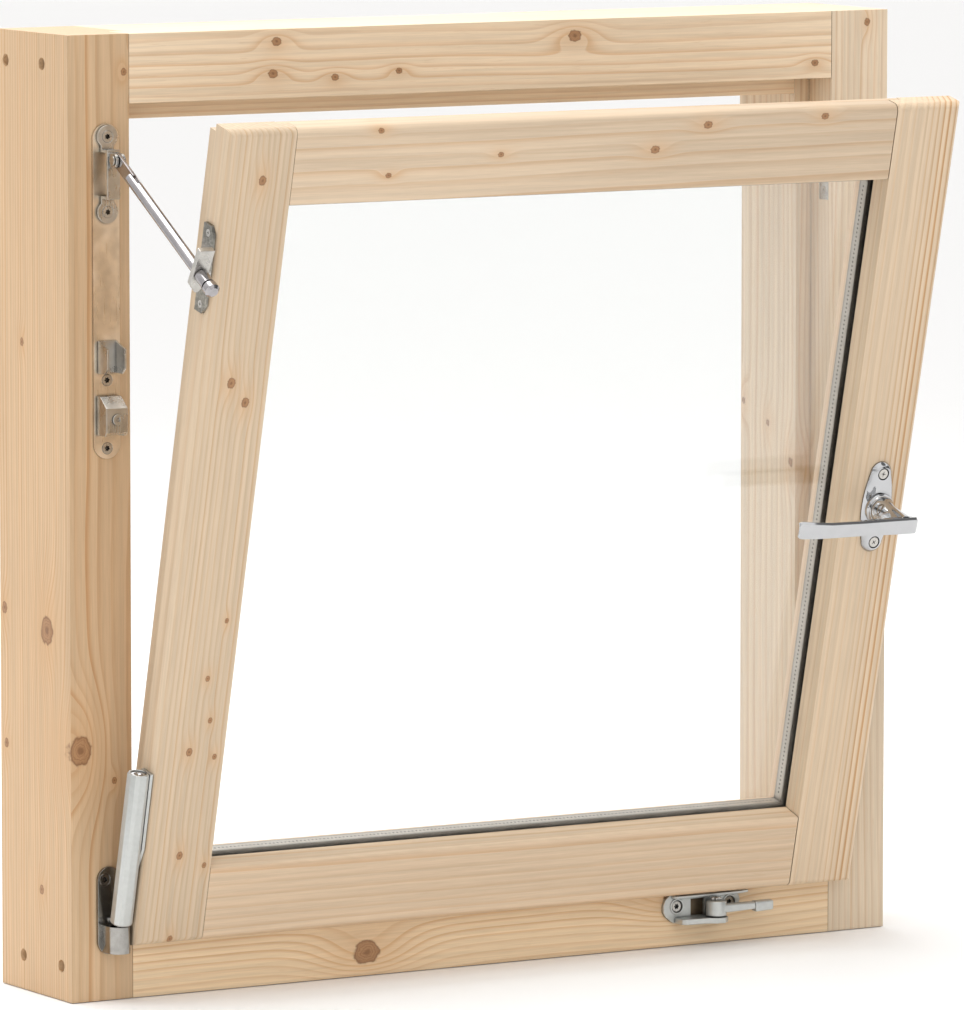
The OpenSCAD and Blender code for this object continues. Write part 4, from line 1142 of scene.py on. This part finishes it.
class WINDOW_OT_handle(bpy.types.Operator):
    """Builds the polished handle: leaf-shaped plate, collar, swept neck and flat lever"""

    bl_idname = "window.handle"
    bl_label = "Handle"

    def execute(self, context):
        low, high = closed_box("handle_base")
        middle = (low + high) / 2

        def face(u, w, n):
            return on_sash(middle.x + u, low.y + n, middle.z + w)

        plate = loft("handle_base_finish", [
            [face(u, w, n) for u, w in rosette_outline(inset)]
            for inset, n in ((0.0, 0.0), (0.0, 0.0012), (0.0009, 0.0026), (0.0026, 0.0042),
                             (0.0038, 0.0046))], metal("chrome"))
        for side in (1, -1):
            well = loft("well", [[face(u, w + side * 0.0265, n) for u, w in circle(32, 0.0047)]
                                 for n in (0.0018, 0.008)], metal("chrome"))
            cut(plate, well)
        collar = loft("collar", [[face(u, w, n) for u, w in circle(48, radius)] for radius, n in (
            (0.0118, 0.0040), (0.0118, 0.0062), (0.0104, 0.0078), (0.0100, 0.0090))],
            metal("chrome"))
        round_edges(plate, 0.0004)
        round_edges(collar, 0.0004)
        finish_piece(joined("handle_base_finish", [plate, collar]), "handle_base")
        self.lever(face)
        return {"FINISHED"}

    def lever(self, face):
        # stations along the neck: place across and along, distance out, radius, squeeze
        spine = ((0.0, 0.0, 0.0093, 0.0098, 1.0), (0.0, 0.0, 0.0115, 0.0094, 1.0),
                 (0.0004, 0.0, 0.0150, 0.0078, 1.0), (0.0014, 0.0, 0.0200, 0.0066, 0.95),
                 (0.0022, 0.0, 0.0270, 0.0062, 0.9), (0.0020, 0.0, 0.0330, 0.0066, 0.85),
                 (0.0012, 0.0, 0.0390, 0.0068, 0.82))
        neck = loft("neck", [[face(u + cu, w + cw, n) for u, w in circle(40, radius, squeeze)]
                             for cu, cw, n, radius, squeeze in spine], metal("chrome"))
        # stations along the lever: place, half height in front and behind, front and back plane
        stations = (
            (0.0086, 0.0050, 0.0036, 0.0440, 0.0368), (0.0072, 0.0062, 0.0044, 0.0450, 0.0356),
            (-0.010, 0.0062, 0.0044, 0.0450, 0.0358), (-0.040, 0.0058, 0.0040, 0.0446, 0.0368),
            (-0.066, 0.0060, 0.0041, 0.0443, 0.0380), (-0.078, 0.0064, 0.0044, 0.0428, 0.0384),
            (-0.0886, 0.0068, 0.0048, 0.0402, 0.0372), (-0.0906, 0.0058, 0.0040, 0.0396, 0.0378))
        rings = []
        for u, front, back, near, far in stations:
            rings.append([face(u, w, n) for w, n in (
                (-front, near - 0.0006), (0.0, near), (front - 0.0016, near),
                (front, near - 0.0014), (back + 0.0008, near - 0.0036), (back, far),
                (-back, far), (-back - 0.0008, near - 0.0030))])
        bar = loft("bar", rings, metal("chrome"))
        round_edges(bar, 0.0003, degrees=20)
        round_edges(neck, 0.0003, degrees=40)
        finish_piece(joined("handle_lever_finish", [bar, neck]), "handle_lever")


class WINDOW_OT_hinge(bpy.types.Operator):
    """Builds the faceted sleeve of the corner hinge"""

    bl_idname = "window.hinge"
    bl_label = "Hinge sleeve"

    def execute(self, context):
        low, high = closed_box("hinge_sleeve")
        axis_x = low.x + 0.0073
        axis_f = (low.y + high.y) / 2
        section = ((-0.0072, -0.0036), (-0.0072, 0.0024), (-0.0050, 0.0058), (-0.0022, 0.0072),
                   (0.0030, 0.0072), (0.0060, 0.0054), (0.0064, 0.0030), (0.0064, -0.0040),
                   (0.0040, -0.0068), (-0.0044, -0.0068))

        def ring(z, share=1.0):
            return [on_sash(axis_x + x * share, axis_f + f * share, z) for x, f in section]

        z0, z1 = low.z, high.z
        sleeve = loft("hinge_sleeve_finish", [
            ring(z0, 0.90), ring(z0 + 0.0012), ring(z1 - 0.0008), ring(z1, 0.95)], metal("satin"))
        well = loft("well", [[on_sash(axis_x + x, axis_f + y, z) for x, y in circle(40, 0.0057)]
                             for z in (z1 - 0.004, z1 + 0.004)], metal("satin"))
        cut(sleeve, well)
        round_edges(sleeve, 0.0007, degrees=25)
        finish_piece(settle(sleeve), "hinge_sleeve")
        return {"FINISHED"}


class WINDOW_OT_stage(bpy.types.Operator):
    """Sets the floor, the studio light and the camera"""

    bl_idname = "window.stage"
    bl_label = "Stage"

    def execute(self, context):
        stage = context.scene.window_stage
        self.floor(stage)
        self.lights(stage)
        self.camera()
        context.scene.view_settings.view_transform = "Standard"
        return {"FINISHED"}

    def floor(self, stage):
        reach = 40.0
        mesh = bpy.data.meshes.new("floor")
        low = FRAME_LO.z - 0.0005
        mesh.from_pydata([(-reach, -reach, low), (reach, -reach, low), (reach, reach, low),
                          (-reach, reach, low)], [], [(0, 1, 2, 3)])
        material, _, shader = new_material("pale_floor")
        shader.inputs["Base Color"].default_value = list(stage.floor) + [1]
        shader.inputs["Roughness"].default_value = 0.8
        in_scene("floor", mesh, material)

    def lights(self, stage):
        world = bpy.data.worlds.new("studio")
        bpy.context.scene.world = world
        world.use_nodes = True
        net = Net(world.node_tree)
        background = world.node_tree.nodes["Background"]
        place = net.node("ShaderNodeTexCoord").outputs["Generated"]
        parts = net.node("ShaderNodeSeparateXYZ", {0: place}).outputs
        up = parts["Z"]
        level = net.span(up, -0.1, 0.7, 0.90, 1.08)
        # dark cards low on the room side give the polished metal something to mirror
        low_band = net.times(net.span(up, 0.02, 0.08), net.span(up, 0.34, 0.42, 1.0, 0.0))
        side = net.span(parts["X"], 0.25, 0.45)
        left = net.span(parts["X"], -0.55, -0.75)
        room = net.span(parts["Y"], 0.1, -0.1)
        card = net.times(net.most(side, left), net.times(low_band, room))
        # two round black flags high on the right darken what the top facets mirror
        for direction, inner, outer in (((0.53, 0.36, 0.77), 0.30, 0.42),
                                        ((0.51, -0.46, 0.73), 0.26, 0.36)):
            off = net.vector("SUBTRACT", net.vector("NORMALIZE", place), direction)
            card = net.most(card, net.span(net.vector("LENGTH", off), inner, outer, 0.93, 0.0))
        level = net.times(level, net.span(parts["X"], -0.95, -0.2, 0.66, 1.0))
        level = net.times(level, net.minus(1.0, net.times(card, 0.88)))
        net.put(background.inputs["Color"], net.tone((1.0, 0.99, 0.98), level))
        background.inputs["Strength"].default_value = stage.sky
        for name, place, size, power in (
                ("key", (-0.3, 0.2, 2.6), 2.0, stage.key * 2.1),
                ("fill", (-2.6, -2.0, 1.1), 1.8, stage.key * 0.25),
                ("back", (0.8, 2.2, 2.2), 1.8, stage.key * 0.4)):
            light = bpy.data.lights.new(name, "AREA")
            light.size = size
            light.energy = power
            self.aimed(name, light, place, (0, 0, 0.35))

    def camera(self):
        lens = bpy.data.cameras.new("camera")
        lens.lens = 312.07
        lens.sensor_width = 36.0
        lens.clip_end = 200.0
        bpy.context.scene.camera = self.aimed(
            "camera", lens, (-3.2328, -5.5075, 1.0346), (-0.0035, -0.05, 0.338))

    def aimed(self, name, data, place, target):
        """A light or camera at a place, looking at a target."""
        made = bpy.data.objects.new(name, data)
        made.location = place
        made.rotation_euler = (Vector(target) - made.location).to_track_quat("-Z", "Y").to_euler()
        bpy.context.scene.collection.objects.link(made)
        return made


OPERATORS = (WINDOW_OT_timber, WINDOW_OT_glazing, WINDOW_OT_hardware, WINDOW_OT_screws,
             WINDOW_OT_keeper, WINDOW_OT_handle, WINDOW_OT_hinge, WINDOW_OT_stage)


class WINDOW_PT_panel(bpy.types.Panel):
    """The window's pieces and the sizes and colours that suit them"""

    bl_label = "Tilt Window"
    bl_idname = "WINDOW_PT_panel"
    bl_space_type = "VIEW_3D"
    bl_region_type = "UI"
    bl_category = "Tilt Window"

    def draw(self, context):
        for label, _ in SETTINGS:
            group_values = getattr(context.scene, label)
            for name in group_values.__annotations__:
                self.layout.prop(group_values, name)
        for operator in OPERATORS:
            self.layout.operator(operator.bl_idname)


SETTINGS = (("window_timber", TimberSettings), ("window_metal", MetalSettings),
            ("window_glazing", GlazingSettings), ("window_stage", StageSettings))


def register():
    for label, settings in SETTINGS:
        bpy.utils.register_class(settings)
        setattr(bpy.types.Scene, label, bpy.props.PointerProperty(type=settings))
    for operator in OPERATORS:
        bpy.utils.register_class(operator)
    bpy.utils.register_class(WINDOW_PT_panel)


def unregister():
    bpy.utils.unregister_class(WINDOW_PT_panel)
    for operator in reversed(OPERATORS):
        bpy.utils.unregister_class(operator)
    for label, settings in reversed(SETTINGS):
        delattr(bpy.types.Scene, label)
        bpy.utils.unregister_class(settings)


def main():
    register()
    bpy.ops.window.timber()
    bpy.ops.window.glazing()
    bpy.ops.window.hardware()
    bpy.ops.window.screws()
    bpy.ops.window.keeper()
    bpy.ops.window.handle()
    bpy.ops.window.hinge()
    bpy.ops.window.stage()


if __name__ == "__main__":
    main()
